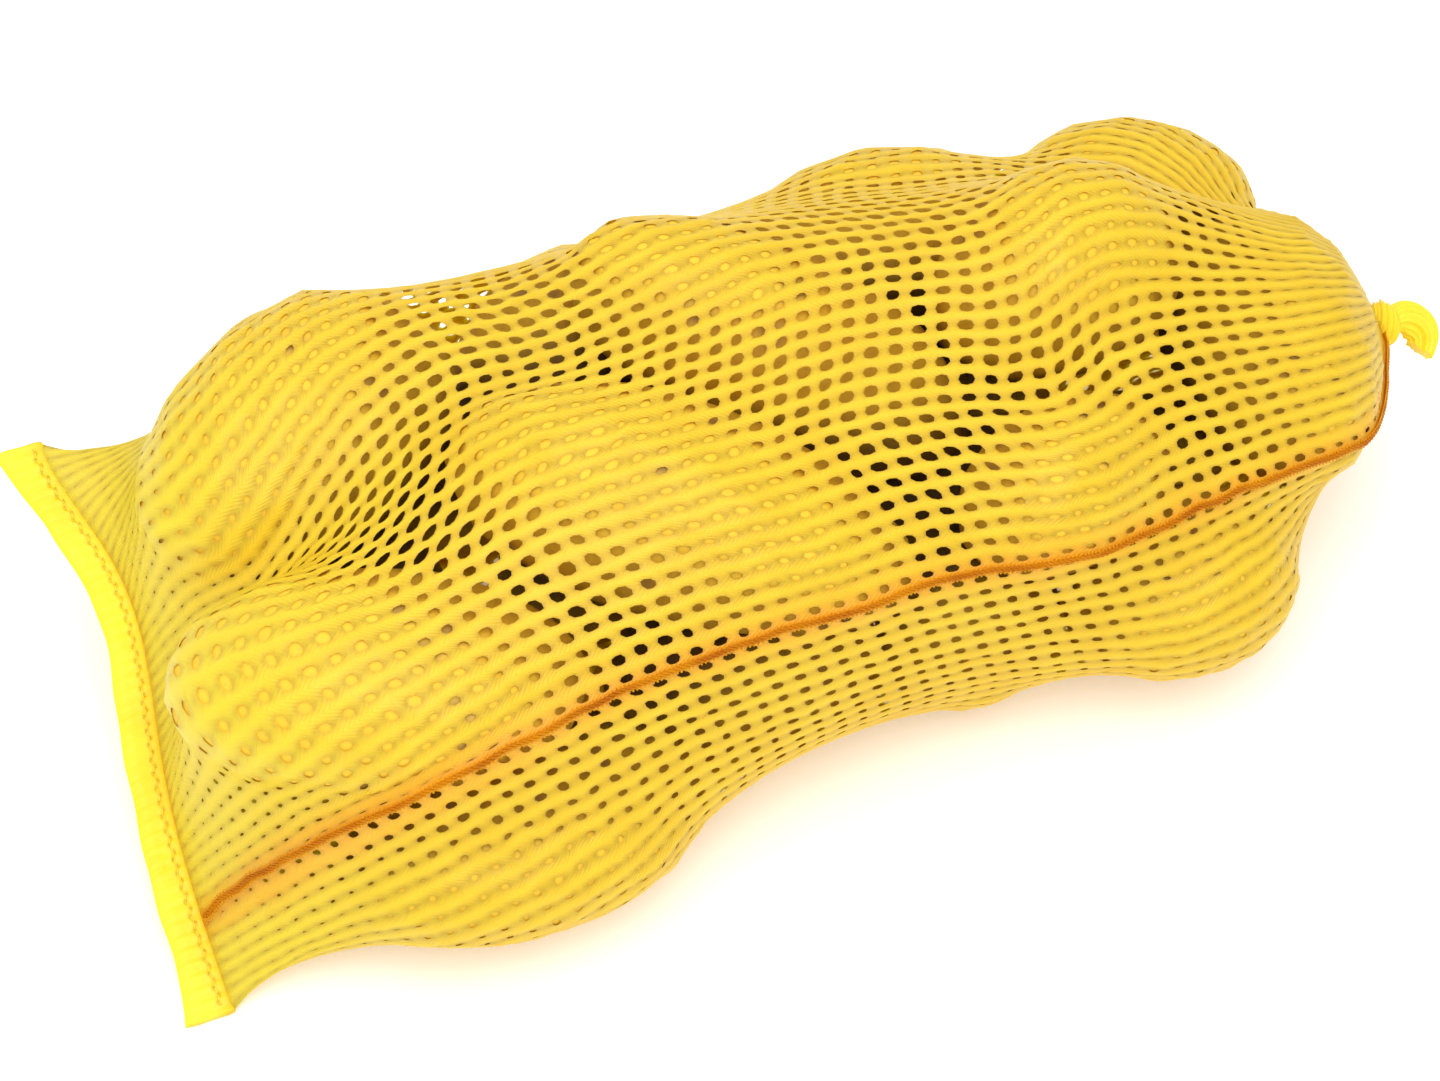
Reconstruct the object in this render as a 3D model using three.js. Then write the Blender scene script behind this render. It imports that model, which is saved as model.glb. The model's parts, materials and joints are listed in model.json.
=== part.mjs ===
// Mesh produce bag lying on its side: a knitted net sack full of potatoes, sewn shut along the hem
// at one end and knotted at the mouth. Millimetres, +Z up, X from the hem (-X) to the mouth (+X),
// with the near side at -Y. The origin is under the middle of the whole bag.
import * as THREE from "three";
import { ConvexGeometry } from "three/addons/geometries/ConvexGeometry.js";

// The load: how far the potatoes' middles spread, and the size of the largest potato
const LOAD_LENGTH = 300;
const LOAD_WIDTH = 150;
const LOAD_HEIGHT = 100;
const POTATO_LENGTH = 138;
const POTATO_WIDTH = 78;
const POTATO_DEPTH = 74;
const POTATO_CLEARANCE = 0.4;

// The net: its wall, its gaps, and the clearance to the potatoes inside
const NET_WALL = 1.4;
const NET_CLEARANCE = 0.45;
const GAPS_AROUND = 12;
const GAPS_ALONG = 10;
const FOLD_SLIT = 0.6;
const LENGTHWISE_PULL = 3;
const FLOOR_PRESS = 1.2;

// The hem: ear to ear, how far it stands off the load, its band and how high the far ear is held
const EAR_SPAN = 168;
const EAR_SHIFT = 7;
const HEM_REACH = 5;
const HEM_SAG = 10;
const HEM_BAND = 11;
const HEM_THICKNESS = 3.2;
const EAR_FLARE = 0.25;
const FAR_EAR_LIFT = 61;

// The mouth: the gathered neck, its knot and the short free end
const NECK_REACH = 9;
const NECK_RADIUS = 5.5;
const NECK_HEIGHT = 47;
const PLEAT_DEPTH = 0.16;
const KNOT_LENGTH = 7;
const KNOT_RADIUS = 7.5;
const TUFT_LENGTH = 13;
const TUFT_WIDTH = 15;
const TUFT_THICKNESS = 7;

// The sewn side seam
const SEAM_WIDTH = 2.6;
const SEAM_HEIGHT = 1.6;
const SEAM_CLEARANCE = 0.9;
const PIECE_CLEARANCE = 0.35;

// Potatoes: at is the middle's place, as shares of the load's length, width and height; size is the
// potato's own length, width and depth, as shares of the largest potato's; turn is about the
// vertical and pitch lifts the +X end, both in degrees; taper is how much one end is slimmer.
const POTATOES = [
  { name: "far_hem", at: [-0.44, 0.3, 0.72], size: [0.8, 0.96, 0.9], turn: 25, pitch: 6, taper: 0.1 },
  { name: "far_second", at: [-0.21, 0.41, 0.62], size: [0.56, 0.72, 0.7], turn: 30 },
  { name: "long_top", at: [-0.17, -0.21, 0.9], size: [1, 0.85, 0.81], turn: -34, pitch: -12, taper: -0.08 },
  { name: "cross_top", at: [-0.02, 0.12, 0.88], size: [0.94, 0.79, 0.81], turn: -38, pitch: -20 },
  { name: "far_middle", at: [0.17, 0.37, 0.78], size: [0.7, 0.79, 0.78], turn: -8, taper: 0.06 },
  { name: "top_mouth", at: [0.28, 0.09, 0.88], size: [0.61, 0.82, 0.81], turn: 15, taper: 0.1 },
  { name: "far_mouth", at: [0.43, 0.33, 0.5], size: [0.59, 0.77, 0.74], turn: -15, taper: -0.1 },
  { name: "mouth_end", at: [0.44, -0.03, 0.6], size: [0.71, 0.82, 0.89], turn: 80, taper: 0.08 },
  { name: "small_top", at: [0.19, -0.35, 0.84], size: [0.52, 0.64, 0.65], turn: 18 },
  { name: "near_mouth", at: [0.255, -0.42, 0.36], size: [0.53, 0.74, 0.73], turn: 5, taper: 0.1 },
  { name: "near_third", at: [0.095, -0.37, 0.32], size: [0.42, 0.64, 0.66], turn: 10 },
  { name: "near_second", at: [-0.09, -0.32, 0.32], size: [0.61, 0.69, 0.7], turn: -6, taper: 0.08 },
  { name: "near_hem", at: [-0.39, -0.49, 0.32], size: [0.8, 0.83, 0.69], turn: 2, taper: 0.08 },
  { name: "top_hem", at: [-0.485, -0.31, 0.74], size: [0.86, 0.9, 0.73], turn: -22, taper: -0.06 },
  { name: "under_hem", at: [-0.42, 0.14, 0.28], size: [0.62, 0.77, 0.6], turn: 85 },
  { name: "under_second", at: [-0.17, 0.11, 0.29], size: [0.7, 0.72, 0.62], turn: 20, taper: 0.05 },
  { name: "under_third", at: [0.13, 0.02, 0.29], size: [0.6, 0.72, 0.62], turn: -30 },
  { name: "under_far", at: [0.0, 0.44, 0.26], size: [0.58, 0.69, 0.57], turn: 5, taper: 0.05 },
  { name: "under_mouth", at: [0.27, 0.3, 0.26], size: [0.57, 0.7, 0.55], turn: 60 },
  { name: "under_side", at: [-0.32, 0.35, 0.22], size: [0.42, 0.68, 0.62], turn: 15 },
  { name: "under_neck", at: [0.35, -0.09, 0.22], size: [0.42, 0.66, 0.6], turn: -20 },
];
const POTATO_CORNERS = 76;
const POTATO_BEND = 0.06;

// How the potatoes settle: they push each other apart, a little over half of the overlap each, and
// then drop, until the last move is small. The plane that parts two of them is turned in ever
// smaller steps.
const SPREAD_ROUNDS = 400;
const PUSH_SHARE = 0.52;
const DROP_STEPS = 60;
const SMALLEST_MOVE = 0.02;
const TURN_STEPS = 40;
const FIRST_TURN = 0.3;
const TURN_DECAY = 0.9;

// Where the seam's strand came to rest: height as a share of the load's, at shares of the net's length
const SEAM_LINE = [
  { along: 0.03, up: 0.25 },
  { along: 0.12, up: 0.62 },
  { along: 0.2, up: 0.86 },
  { along: 0.5, up: 0.88 },
  { along: 0.68, up: 0.75 },
  { along: 0.84, up: 0.67 },
];
const SEAM_PULL = 0.35;

// The hem's section and the seam's, as shares of their width and of their half or full height
const HEM_SECTION = [
  { out: 0, up: -1 },
  { out: 0.85, up: -1 },
  { out: 1, up: -0.4 },
  { out: 1, up: 0.4 },
  { out: 0.85, up: 1 },
  { out: 0, up: 1 },
];
const SEAM_SECTION = [
  { across: -1, up: 0 },
  { across: 1, up: 0 },
  { across: 1, up: 0.5 },
  { across: 0.4, up: 1 },
  { across: -0.4, up: 1 },
  { across: -1, up: 0.5 },
];
const HEM_BOW_SKEW = 1.8;
const EAR_SHARPNESS = 8;

// The knot is a ribbed lump that twists; the tuft runs straight, then curls forward and down
const KNOT = { steps: 8, sides: 20, ribs: 5, ribDepth: 0.08, twist: 70 };
const TUFT = { steps: 12, sides: 18, ribs: 4, ribDepth: 0.12, straight: 0.2, curl: 100 };
const CURL_FORWARD = 0.8;
const CURL_DOWN = 0.6;
const TUFT_NARROW = 0.45;

// The net before it tightens: an oval tube over the load that swells from both of its ends
const OVAL_WIDTH = 0.56;
const OVAL_HEIGHT = 0.58;
const SWELL = 5;

// How the net tightens: sweeps with some overshoot, and then passes that clear its flat faces
const SWEEPS = 260;
const OVERSHOOT = 1.4;
const FACE_PASSES = 16;
const FACE_SPOTS = [0.04, 0.2, 0.35, 0.5, 0.65, 0.8, 0.96];
const FACE_CLEARANCE = 0.7 * NET_CLEARANCE;

// How finely the net is laid out: columns and rows for each strand and gap, and plain end rows
const STEPS_PER_GAP = 3;
const HEM_ROWS = 2;
const NECK_ROWS = 3;
const CELL_STEPS = STEPS_PER_GAP + 1;
const COLUMNS = GAPS_AROUND * CELL_STEPS;
const FAR_COLUMN = COLUMNS / 2;
const ROWS = HEM_ROWS + GAPS_ALONG * CELL_STEPS + 1 + NECK_ROWS;
const SEAM_COLUMN = CELL_STEPS;

const MATERIALS = {
  net: { color: 0xf6cf45, roughness: 0.5, metalness: 0 },
  hem: { color: 0xf8df1e, roughness: 0.5, metalness: 0 },
  thread: { color: 0xc8780f, roughness: 0.7, metalness: 0 },
  potato: { color: 0xd3ad52, roughness: 0.8, metalness: 0 },
};

const UP = new THREE.Vector3(0, 0, 1);
const ALONG = new THREE.Vector3(1, 0, 0);
const radians = THREE.MathUtils.degToRad;
const lerp = THREE.MathUtils.lerp;

// A closed solid through rings of points, flat at both ends, with its faces turned outwards
function solidThrough(rings) {
  const size = rings[0].length;
  const points = rings.flat();
  const faces = [];
  for (let ring = 0; ring + 1 < rings.length; ring += 1) {
    for (let side = 0; side < size; side += 1) {
      const next = (side + 1) % size;
      const a = ring * size + side;
      const b = ring * size + next;
      faces.push([a, b, b + size], [a, b + size, a + size]);
    }
  }
  const last = (rings.length - 1) * size;
  for (let side = 1; side + 1 < size; side += 1) {
    faces.push([0, side + 1, side], [last, last + side, last + side + 1]);
  }
  return solidFrom(points, faces);
}

// Geometry from points and faces; the faces are turned over if they enclose a negative volume
function solidFrom(points, faces) {
  let volume = 0;
  for (const [a, b, c] of faces) {
    volume += points[a].dot(new THREE.Vector3().crossVectors(points[b], points[c]));
  }
  const index = volume < 0 ? faces.flatMap(([a, b, c]) => [a, c, b]) : faces.flat();
  const geometry = new THREE.BufferGeometry();
  const numbers = points.flatMap((point) => point.toArray());
  geometry.setAttribute("position", new THREE.Float32BufferAttribute(numbers, 3));
  geometry.setIndex(index);
  geometry.computeVertexNormals();
  return geometry;
}

// A potato: evenly spread directions pushed out to an oval with one end tapered, and a slight bend
function makePotato(row) {
  const { name, at, size, turn, pitch = 0, taper = 0 } = row;
  const half = new THREE.Vector3(POTATO_LENGTH / 2, POTATO_WIDTH / 2, POTATO_DEPTH / 2);
  half.multiply(new THREE.Vector3(...size));
  const pose = new THREE.Euler(0, radians(-pitch), radians(turn), "ZYX");
  const corners = [];
  for (let i = 0; i < POTATO_CORNERS; i += 1) {
    const height = 1 - (2 * i + 1) / POTATO_CORNERS;
    const angle = i * Math.PI * (3 - Math.sqrt(5));
    const ring = Math.sqrt(1 - height * height);
    const x = height;
    const y = ring * Math.cos(angle) * (1 + taper * height);
    const z = ring * Math.sin(angle) * (1 + taper * height) - POTATO_BEND * height * height;
    corners.push(new THREE.Vector3(x, y, z).multiply(half).applyEuler(pose));
  }
  const centre = new THREE.Vector3(LOAD_LENGTH, LOAD_WIDTH, LOAD_HEIGHT).multiply(new THREE.Vector3(...at));
  const hull = new ConvexGeometry(corners);
  const reach = Math.max(...corners.map((corner) => corner.length()));
  return { name: `potato_${name}`, centre, corners, hull, reach, planes: hullPlanes(hull) };
}

// The outward normal and distance from the potato's middle of each of its faces
function hullPlanes(hull) {
  const position = hull.getAttribute("position");
  const corner = (i) => new THREE.Vector3().fromBufferAttribute(position, i);
  const planes = [];
  for (let i = 0; i < position.count; i += 3) {
    const first = corner(i);
    const normal = corner(i + 1).sub(first).cross(corner(i + 2).sub(first)).normalize();
    planes.push({ normal, distance: normal.dot(first) });
  }
  return planes;
}

// The potato's corner that lies furthest along a direction
function furthestCorner(potato, direction) {
  let best = potato.corners[0];
  let reach = -Infinity;
  for (const corner of potato.corners) {
    const along = corner.dot(direction);
    if (along > reach) {
      reach = along;
      best = corner;
    }
  }
  return best;
}

// The widest gap between two parallel planes that part two potatoes; negative where they overlap
function widestGap(a, b) {
  const normal = new THREE.Vector3().subVectors(b.centre, a.centre).normalize();
  const best = { gap: -Infinity, normal: normal.clone() };
  let turn = FIRST_TURN;
  for (let step = 0; step < TURN_STEPS; step += 1) {
    const between = new THREE.Vector3().subVectors(b.centre, a.centre);
    between.sub(furthestCorner(a, normal)).add(furthestCorner(b, normal.clone().negate()));
    const gap = between.dot(normal);
    if (gap > best.gap) {
      best.gap = gap;
      best.normal.copy(normal);
    }
    const sideways = between.addScaledVector(normal, -gap);
    normal.addScaledVector(sideways, turn / (sideways.length() + 1e-9)).normalize();
    turn *= TURN_DECAY;
  }
  return best;
}

function lowest(potato) {
  return potato.centre.z + furthestCorner(potato, UP.clone().negate()).z;
}

const near = (a, b) => a.centre.distanceTo(b.centre) < a.reach + b.reach + POTATO_CLEARANCE;

// Overlapping potatoes push each other apart until none touch, and none goes below the net's floor
function spreadApart(potatoes, floor) {
  for (let round = 0; round < SPREAD_ROUNDS; round += 1) {
    let moved = 0;
    for (let i = 0; i < potatoes.length; i += 1) {
      for (let j = i + 1; j < potatoes.length; j += 1) {
        const [a, b] = [potatoes[i], potatoes[j]];
        if (!near(a, b)) continue;
        const { gap, normal } = widestGap(a, b);
        const lack = POTATO_CLEARANCE - gap;
        if (lack <= 0) continue;
        a.centre.addScaledVector(normal, -PUSH_SHARE * lack);
        b.centre.addScaledVector(normal, PUSH_SHARE * lack);
        moved = Math.max(moved, lack);
      }
    }
    for (const potato of potatoes) {
      potato.centre.z += Math.max(0, floor - lowest(potato));
    }
    if (moved < SMALLEST_MOVE) break;
  }
}

// From the lowest up, each potato drops straight down until it meets the floor or another potato
function dropOntoOthers(potatoes, floor) {
  const order = [...potatoes].sort((a, b) => lowest(a) - lowest(b));
  for (const potato of order) {
    for (let step = 0; step < DROP_STEPS; step += 1) {
      let fall = lowest(potato) - floor;
      for (const other of potatoes) {
        if (other === potato) continue;
        const { gap, normal } = widestGap(other, potato);
        if (normal.z > 1e-3) fall = Math.min(fall, (gap - POTATO_CLEARANCE) / normal.z);
      }
      if (fall < SMALLEST_MOVE) break;
      potato.centre.z -= fall;
    }
  }
}

// Moves a point out of every potato, to the net's clearance from the nearest face
function pushOut(point, potatoes, clearance) {
  const offset = new THREE.Vector3();
  for (const potato of potatoes) {
    offset.subVectors(point, potato.centre);
    if (offset.length() > potato.reach + clearance) continue;
    let best = potato.planes[0];
    let outside = -Infinity;
    for (const plane of potato.planes) {
      const height = plane.normal.dot(offset) - plane.distance;
      if (height > outside) {
        outside = height;
        best = plane;
        if (outside > clearance) break;
      }
    }
    if (outside < clearance) point.addScaledVector(best.normal, clearance - outside);
  }
}

// The hem line from the near ear (share 0) to the far ear (share 1), drawn in past the middle
function hemPoint(load, share) {
  const bow = (1 - Math.cos(2 * Math.PI * share ** HEM_BOW_SKEW)) / 2;
  const low = NET_WALL + FOLD_SLIT / 2;
  const middle = (load.min.y + load.max.y) / 2;
  return new THREE.Vector3(
    load.min.x - HEM_REACH + HEM_SAG * bow,
    middle + EAR_SHIFT + EAR_SPAN * (share - 0.5),
    low + FAR_EAR_LIFT * share,
  );
}

function neckCentre(load) {
  return new THREE.Vector3(load.max.x + NECK_REACH, (load.min.y + load.max.y) / 2, NECK_HEIGHT);
}

// The gathered neck: a small ring with a pleat for each lengthwise strand
function neckPoint(load, column) {
  const angle = (2 * Math.PI * column) / COLUMNS;
  const pleat = 1 + PLEAT_DEPTH * Math.cos(GAPS_AROUND * angle);
  const spoke = new THREE.Vector3(0, -Math.cos(angle), Math.sin(angle));
  return neckCentre(load).addScaledVector(spoke, NECK_RADIUS * pleat);
}

// The net's inner skin before it tightens: an oval tube from the flat hem to the gathered neck
function looseNet(load) {
  const size = load.getSize(new THREE.Vector3());
  const centre = load.getCenter(new THREE.Vector3());
  const nodes = [];
  for (let row = 0; row <= ROWS; row += 1) {
    const share = row / ROWS;
    const swell = Math.min(1, SWELL * share, SWELL * (1 - share));
    const line = [];
    for (let column = 0; column < COLUMNS; column += 1) {
      const angle = (2 * Math.PI * column) / COLUMNS;
      const across = column <= FAR_COLUMN ? column / FAR_COLUMN : 2 - column / FAR_COLUMN;
      const side = Math.sign(Math.round(Math.sin(angle) * 1e6));
      const hem = hemPoint(load, across).addScaledVector(UP, (side * FOLD_SLIT) / 2);
      const end = hem.clone().lerp(neckPoint(load, column), share);
      const oval = new THREE.Vector3(
        end.x,
        centre.y - OVAL_WIDTH * size.y * Math.cos(angle),
        centre.z + OVAL_HEIGHT * size.z * Math.sin(angle),
      );
      line.push(row === 0 || row === ROWS ? end : end.lerp(oval, swell));
    }
    nodes.push(line);
  }
  return nodes;
}

// The height that the seam's strand is drawn to on a row, or the node's own height off its line
function seamHeight(row, own) {
  const share = row / ROWS;
  const after = SEAM_LINE.findIndex((spot) => spot.along > share);
  if (after < 1) return own;
  const [from, to] = [SEAM_LINE[after - 1], SEAM_LINE[after]];
  return LOAD_HEIGHT * lerp(from.up, to.up, (share - from.along) / (to.along - from.along));
}

// The net under tension: each free node goes to the mean of its neighbours, but stays outside
// the potatoes, above the floor, and on its own side of the sheet that it is folded against
function tightenNet(nodes, potatoes) {
  const mean = new THREE.Vector3();
  for (let sweep = 0; sweep < SWEEPS; sweep += 1) {
    for (let row = 1; row < ROWS; row += 1) {
      for (let column = 0; column < COLUMNS; column += 1) {
        const node = nodes[row][column];
        mean.copy(nodes[row - 1][column]).add(nodes[row + 1][column]);
        mean.multiplyScalar(LENGTHWISE_PULL);
        mean.add(nodes[row][(column + 1) % COLUMNS]).add(nodes[row][(column + COLUMNS - 1) % COLUMNS]);
        node.lerp(mean.divideScalar(2 * LENGTHWISE_PULL + 2), OVERSHOOT);
        if (column === SEAM_COLUMN || column === SEAM_COLUMN + 1) {
          node.z = lerp(node.z, seamHeight(row, node.z), SEAM_PULL);
        }
        pushOut(node, potatoes, NET_CLEARANCE);
        node.z = Math.max(node.z, NET_WALL);
      }
      keepSheetsApart(nodes[row]);
    }
  }
}

function keepSheetsApart(line) {
  for (let column = 1; column < FAR_COLUMN; column += 1) {
    const upper = line[column];
    const lower = line[COLUMNS - column];
    const lack = FOLD_SLIT - (upper.z - lower.z);
    if (lack <= 0) continue;
    const down = Math.min(lack / 2, lower.z - NET_WALL);
    lower.z -= down;
    upper.z += lack - down;
  }
}

// Between its nodes each face of the net is flat, so its inside is tested too and moved out
function clearFaces(nodes, potatoes) {
  const spot = new THREE.Vector3();
  for (let pass = 0; pass < FACE_PASSES; pass += 1) {
    for (let row = 0; row < ROWS; row += 1) {
      for (let column = 0; column < COLUMNS; column += 1) {
        const next = (column + 1) % COLUMNS;
        const [a, b] = [nodes[row][column], nodes[row][next]];
        const [d, c] = [nodes[row + 1][column], nodes[row + 1][next]];
        for (const u of FACE_SPOTS) {
          for (const v of FACE_SPOTS) {
            const third = u > v ? b : d;
            const [alongThird, alongFar] = u > v ? [u - v, v] : [v - u, u];
            spot.copy(a).multiplyScalar(1 - alongThird - alongFar);
            spot.addScaledVector(third, alongThird).addScaledVector(c, alongFar);
            const before = spot.clone();
            pushOut(spot, potatoes, FACE_CLEARANCE);
            const lift = spot.sub(before);
            if (lift.lengthSq() < 1e-6) continue;
            for (const corner of [a, third, c]) {
              if (row === 0 && (corner === a || corner === b)) continue;
              if (row === ROWS - 1 && (corner === c || corner === d)) continue;
              corner.add(lift);
              corner.z = Math.max(corner.z, NET_WALL);
            }
          }
        }
      }
    }
  }
}

// The outer skin: each node moved out by the wall along the net's normal there, and pressed flat
// where it comes within reach of the floor
function outerSkin(nodes) {
  return nodes.map((line, row) => line.map((node, column) => {
    const around = new THREE.Vector3().subVectors(
      line[(column + 1) % COLUMNS],
      line[(column + COLUMNS - 1) % COLUMNS],
    );
    const along = new THREE.Vector3().subVectors(
      nodes[Math.min(row + 1, ROWS)][column],
      nodes[Math.max(row - 1, 0)][column],
    );
    if (row === 0 || row === ROWS) along.copy(ALONG);
    const normal = new THREE.Vector3().crossVectors(along, around).normalize();
    const outer = node.clone().addScaledVector(normal, NET_WALL);
    outer.z = outer.z < FLOOR_PRESS ? 0 : outer.z;
    return outer;
  }));
}

// A face belongs to a gap where both its row and its column step lie past the strand of the cell
function isGap(row, column) {
  const netRow = row - HEM_ROWS;
  const inRows = netRow >= 0 && netRow < GAPS_ALONG * CELL_STEPS && netRow % CELL_STEPS > 0;
  return inRows && column % CELL_STEPS > 0;
}

// The net: two skins joined by walls round every gap and at both ends
function makeNet(inner, outer) {
  const points = [...inner.flat(), ...outer.flat()];
  const at = (skin, row, column) => (skin * (ROWS + 1) + row) * COLUMNS + (column % COLUMNS);
  const faces = [];
  const quad = (a, b, c, d) => faces.push([a, b, c], [a, c, d]);
  const open = (row, column) => row < 0 || row >= ROWS || isGap(row, (column + COLUMNS) % COLUMNS);
  for (let row = 0; row < ROWS; row += 1) {
    for (let column = 0; column < COLUMNS; column += 1) {
      if (open(row, column)) continue;
      const corners = [[row, column], [row, column + 1], [row + 1, column + 1], [row + 1, column]];
      quad(...corners.map(([r, c]) => at(0, r, c)));
      quad(...corners.map(([r, c]) => at(1, r, c)).reverse());
      const beside = [[row - 1, column], [row, column + 1], [row + 1, column], [row, column - 1]];
      beside.forEach(([r, c], side) => {
        if (!open(r, c)) return;
        const [from, to] = [corners[side], corners[(side + 1) % 4]];
        quad(at(0, ...to), at(0, ...from), at(1, ...from), at(1, ...to));
      });
    }
  }
  return solidFrom(points, faces);
}

// The hem: both sheets folded over and stitched, a flat band that widens to a point at each ear
function makeHem(load) {
  const rings = [];
  const stations = FAR_COLUMN;
  const half = HEM_THICKNESS / 2;
  for (let station = 0; station <= stations; station += 1) {
    const share = station / stations;
    const ear = Math.abs(2 * share - 1) ** EAR_SHARPNESS;
    const start = hemPoint(load, share).addScaledVector(ALONG, -PIECE_CLEARANCE);
    const width = HEM_BAND * (1 + EAR_FLARE * ear);
    rings.push(HEM_SECTION.map(({ out, up }) => (
      start.clone().add(new THREE.Vector3(-width * out, 0, up * half))
    )));
  }
  const lowestPoint = Math.min(...rings.flat().map((p) => p.z));
  rings.flat().forEach((p) => p.setZ(p.z - lowestPoint));
  return solidThrough(rings);
}

// The side seam: a stitched ridge that lies on the strand next to the near fold, hem to neck
function makeSeam(outer) {
  const rings = [];
  for (let row = 1; row < ROWS; row += 1) {
    const middle = outer[row][SEAM_COLUMN];
    const ahead = outer[Math.min(row + 1, ROWS)][SEAM_COLUMN];
    const behind = outer[Math.max(row - 1, 0)][SEAM_COLUMN];
    const along = new THREE.Vector3().subVectors(ahead, behind);
    const side = new THREE.Vector3().subVectors(outer[row][SEAM_COLUMN + 1], outer[row][SEAM_COLUMN - 1]);
    const normal = new THREE.Vector3().crossVectors(along, side).normalize();
    side.crossVectors(normal, along).normalize();
    const base = middle.clone().addScaledVector(normal, SEAM_CLEARANCE);
    rings.push(SEAM_SECTION.map(({ across, up }) => base.clone()
      .addScaledVector(side, (across * SEAM_WIDTH) / 2)
      .addScaledVector(normal, up * SEAM_HEIGHT)));
  }
  return solidThrough(rings);
}

// A ribbed ring of points round a middle, in the plane of two directions
function ovalRing(middle, across, up, width, height, { sides, ribs, ribDepth }) {
  return Array.from({ length: sides }, (_, i) => {
    const angle = (2 * Math.PI * i) / sides;
    const rib = 1 + ribDepth * Math.cos(ribs * angle);
    return middle.clone()
      .addScaledVector(across, 0.5 * width * rib * Math.cos(angle))
      .addScaledVector(up, 0.5 * height * rib * Math.sin(angle));
  });
}

// The knot: the gathered net turned on itself, a ribbed lump that twists as it goes
function makeKnot(load) {
  const start = neckCentre(load).addScaledVector(ALONG, PIECE_CLEARANCE);
  const rings = [];
  for (let step = 0; step <= KNOT.steps; step += 1) {
    const share = step / KNOT.steps;
    const radius = lerp(NECK_RADIUS, KNOT_RADIUS, Math.sin(Math.PI * share));
    const twist = radians(KNOT.twist) * share;
    const across = new THREE.Vector3(0, Math.cos(twist), Math.sin(twist));
    const up = new THREE.Vector3(0, -Math.sin(twist), Math.cos(twist));
    const middle = start.clone().addScaledVector(ALONG, KNOT_LENGTH * share);
    rings.push(ovalRing(middle, across, up, 2 * radius, 2 * radius, KNOT));
  }
  return solidThrough(rings);
}

// The free end past the knot: a flat gathered tail that folds forward and curls down
function makeTuft(load) {
  const start = neckCentre(load).addScaledVector(ALONG, 2 * PIECE_CLEARANCE + KNOT_LENGTH);
  const towards = new THREE.Vector3(0, -CURL_FORWARD, -CURL_DOWN);
  const rings = [];
  const place = start.clone();
  for (let step = 0; step <= TUFT.steps; step += 1) {
    const share = step / TUFT.steps;
    const bend = radians(TUFT.curl) * Math.max(0, share - TUFT.straight);
    const along = towards.clone().multiplyScalar(Math.sin(bend)).addScaledVector(ALONG, Math.cos(bend));
    const across = towards.clone().multiplyScalar(-Math.cos(bend)).addScaledVector(ALONG, Math.sin(bend));
    const up = new THREE.Vector3().crossVectors(along, across).normalize();
    if (step > 0) place.addScaledVector(along, TUFT_LENGTH / TUFT.steps);
    const spread = lerp(TUFT_NARROW, 1, Math.sin(0.75 * Math.PI * Math.min(1, share + 0.15)));
    const thickness = lerp(0.7, 1, spread) * TUFT_THICKNESS;
    rings.push(ovalRing(place, across, up, TUFT_WIDTH * spread, thickness, TUFT));
  }
  return solidThrough(rings);
}

function addPiece(group, name, geometry, material, centre) {
  const mesh = new THREE.Mesh(geometry, new THREE.MeshStandardMaterial(MATERIALS[material]));
  mesh.name = name;
  if (centre) mesh.position.copy(centre);
  group.add(mesh);
}

const bag = new THREE.Group();
const potatoes = POTATOES.map(makePotato);
const potatoFloor = NET_WALL + NET_CLEARANCE + SMALLEST_MOVE;
spreadApart(potatoes, potatoFloor);
dropOntoOthers(potatoes, potatoFloor);
for (const potato of potatoes) addPiece(bag, potato.name, potato.hull, "potato", potato.centre);

const load = new THREE.Box3().setFromObject(bag);
const inner = looseNet(load);
tightenNet(inner, potatoes);
clearFaces(inner, potatoes);
const outer = outerSkin(inner);
addPiece(bag, "net_body", makeNet(inner, outer), "net");
addPiece(bag, "bottom_hem", makeHem(load), "hem");
addPiece(bag, "side_seam", makeSeam(outer), "thread");
addPiece(bag, "mouth_knot", makeKnot(load), "hem");
addPiece(bag, "mouth_tuft", makeTuft(load), "hem");

// The whole bag is moved so that the origin is under its middle
const whole = new THREE.Box3().setFromObject(bag);
bag.position.set(-(whole.min.x + whole.max.x) / 2, -(whole.min.y + whole.max.y) / 2, -whole.min.z);
bag.updateMatrixWorld(true);

export default bag;
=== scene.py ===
"""A knitted net sack full of potatoes, lying on its side on a white table.

The bag lies along X, with its sewn hem at -X and its knotted mouth at +X. Metres, +Z up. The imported
solids give the potatoes' places, and everything soft is worked out over them, in the order in which
such a bag is made: potatoes, net, hem, side seam, knotted mouth.
"""

import json
import math

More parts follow.
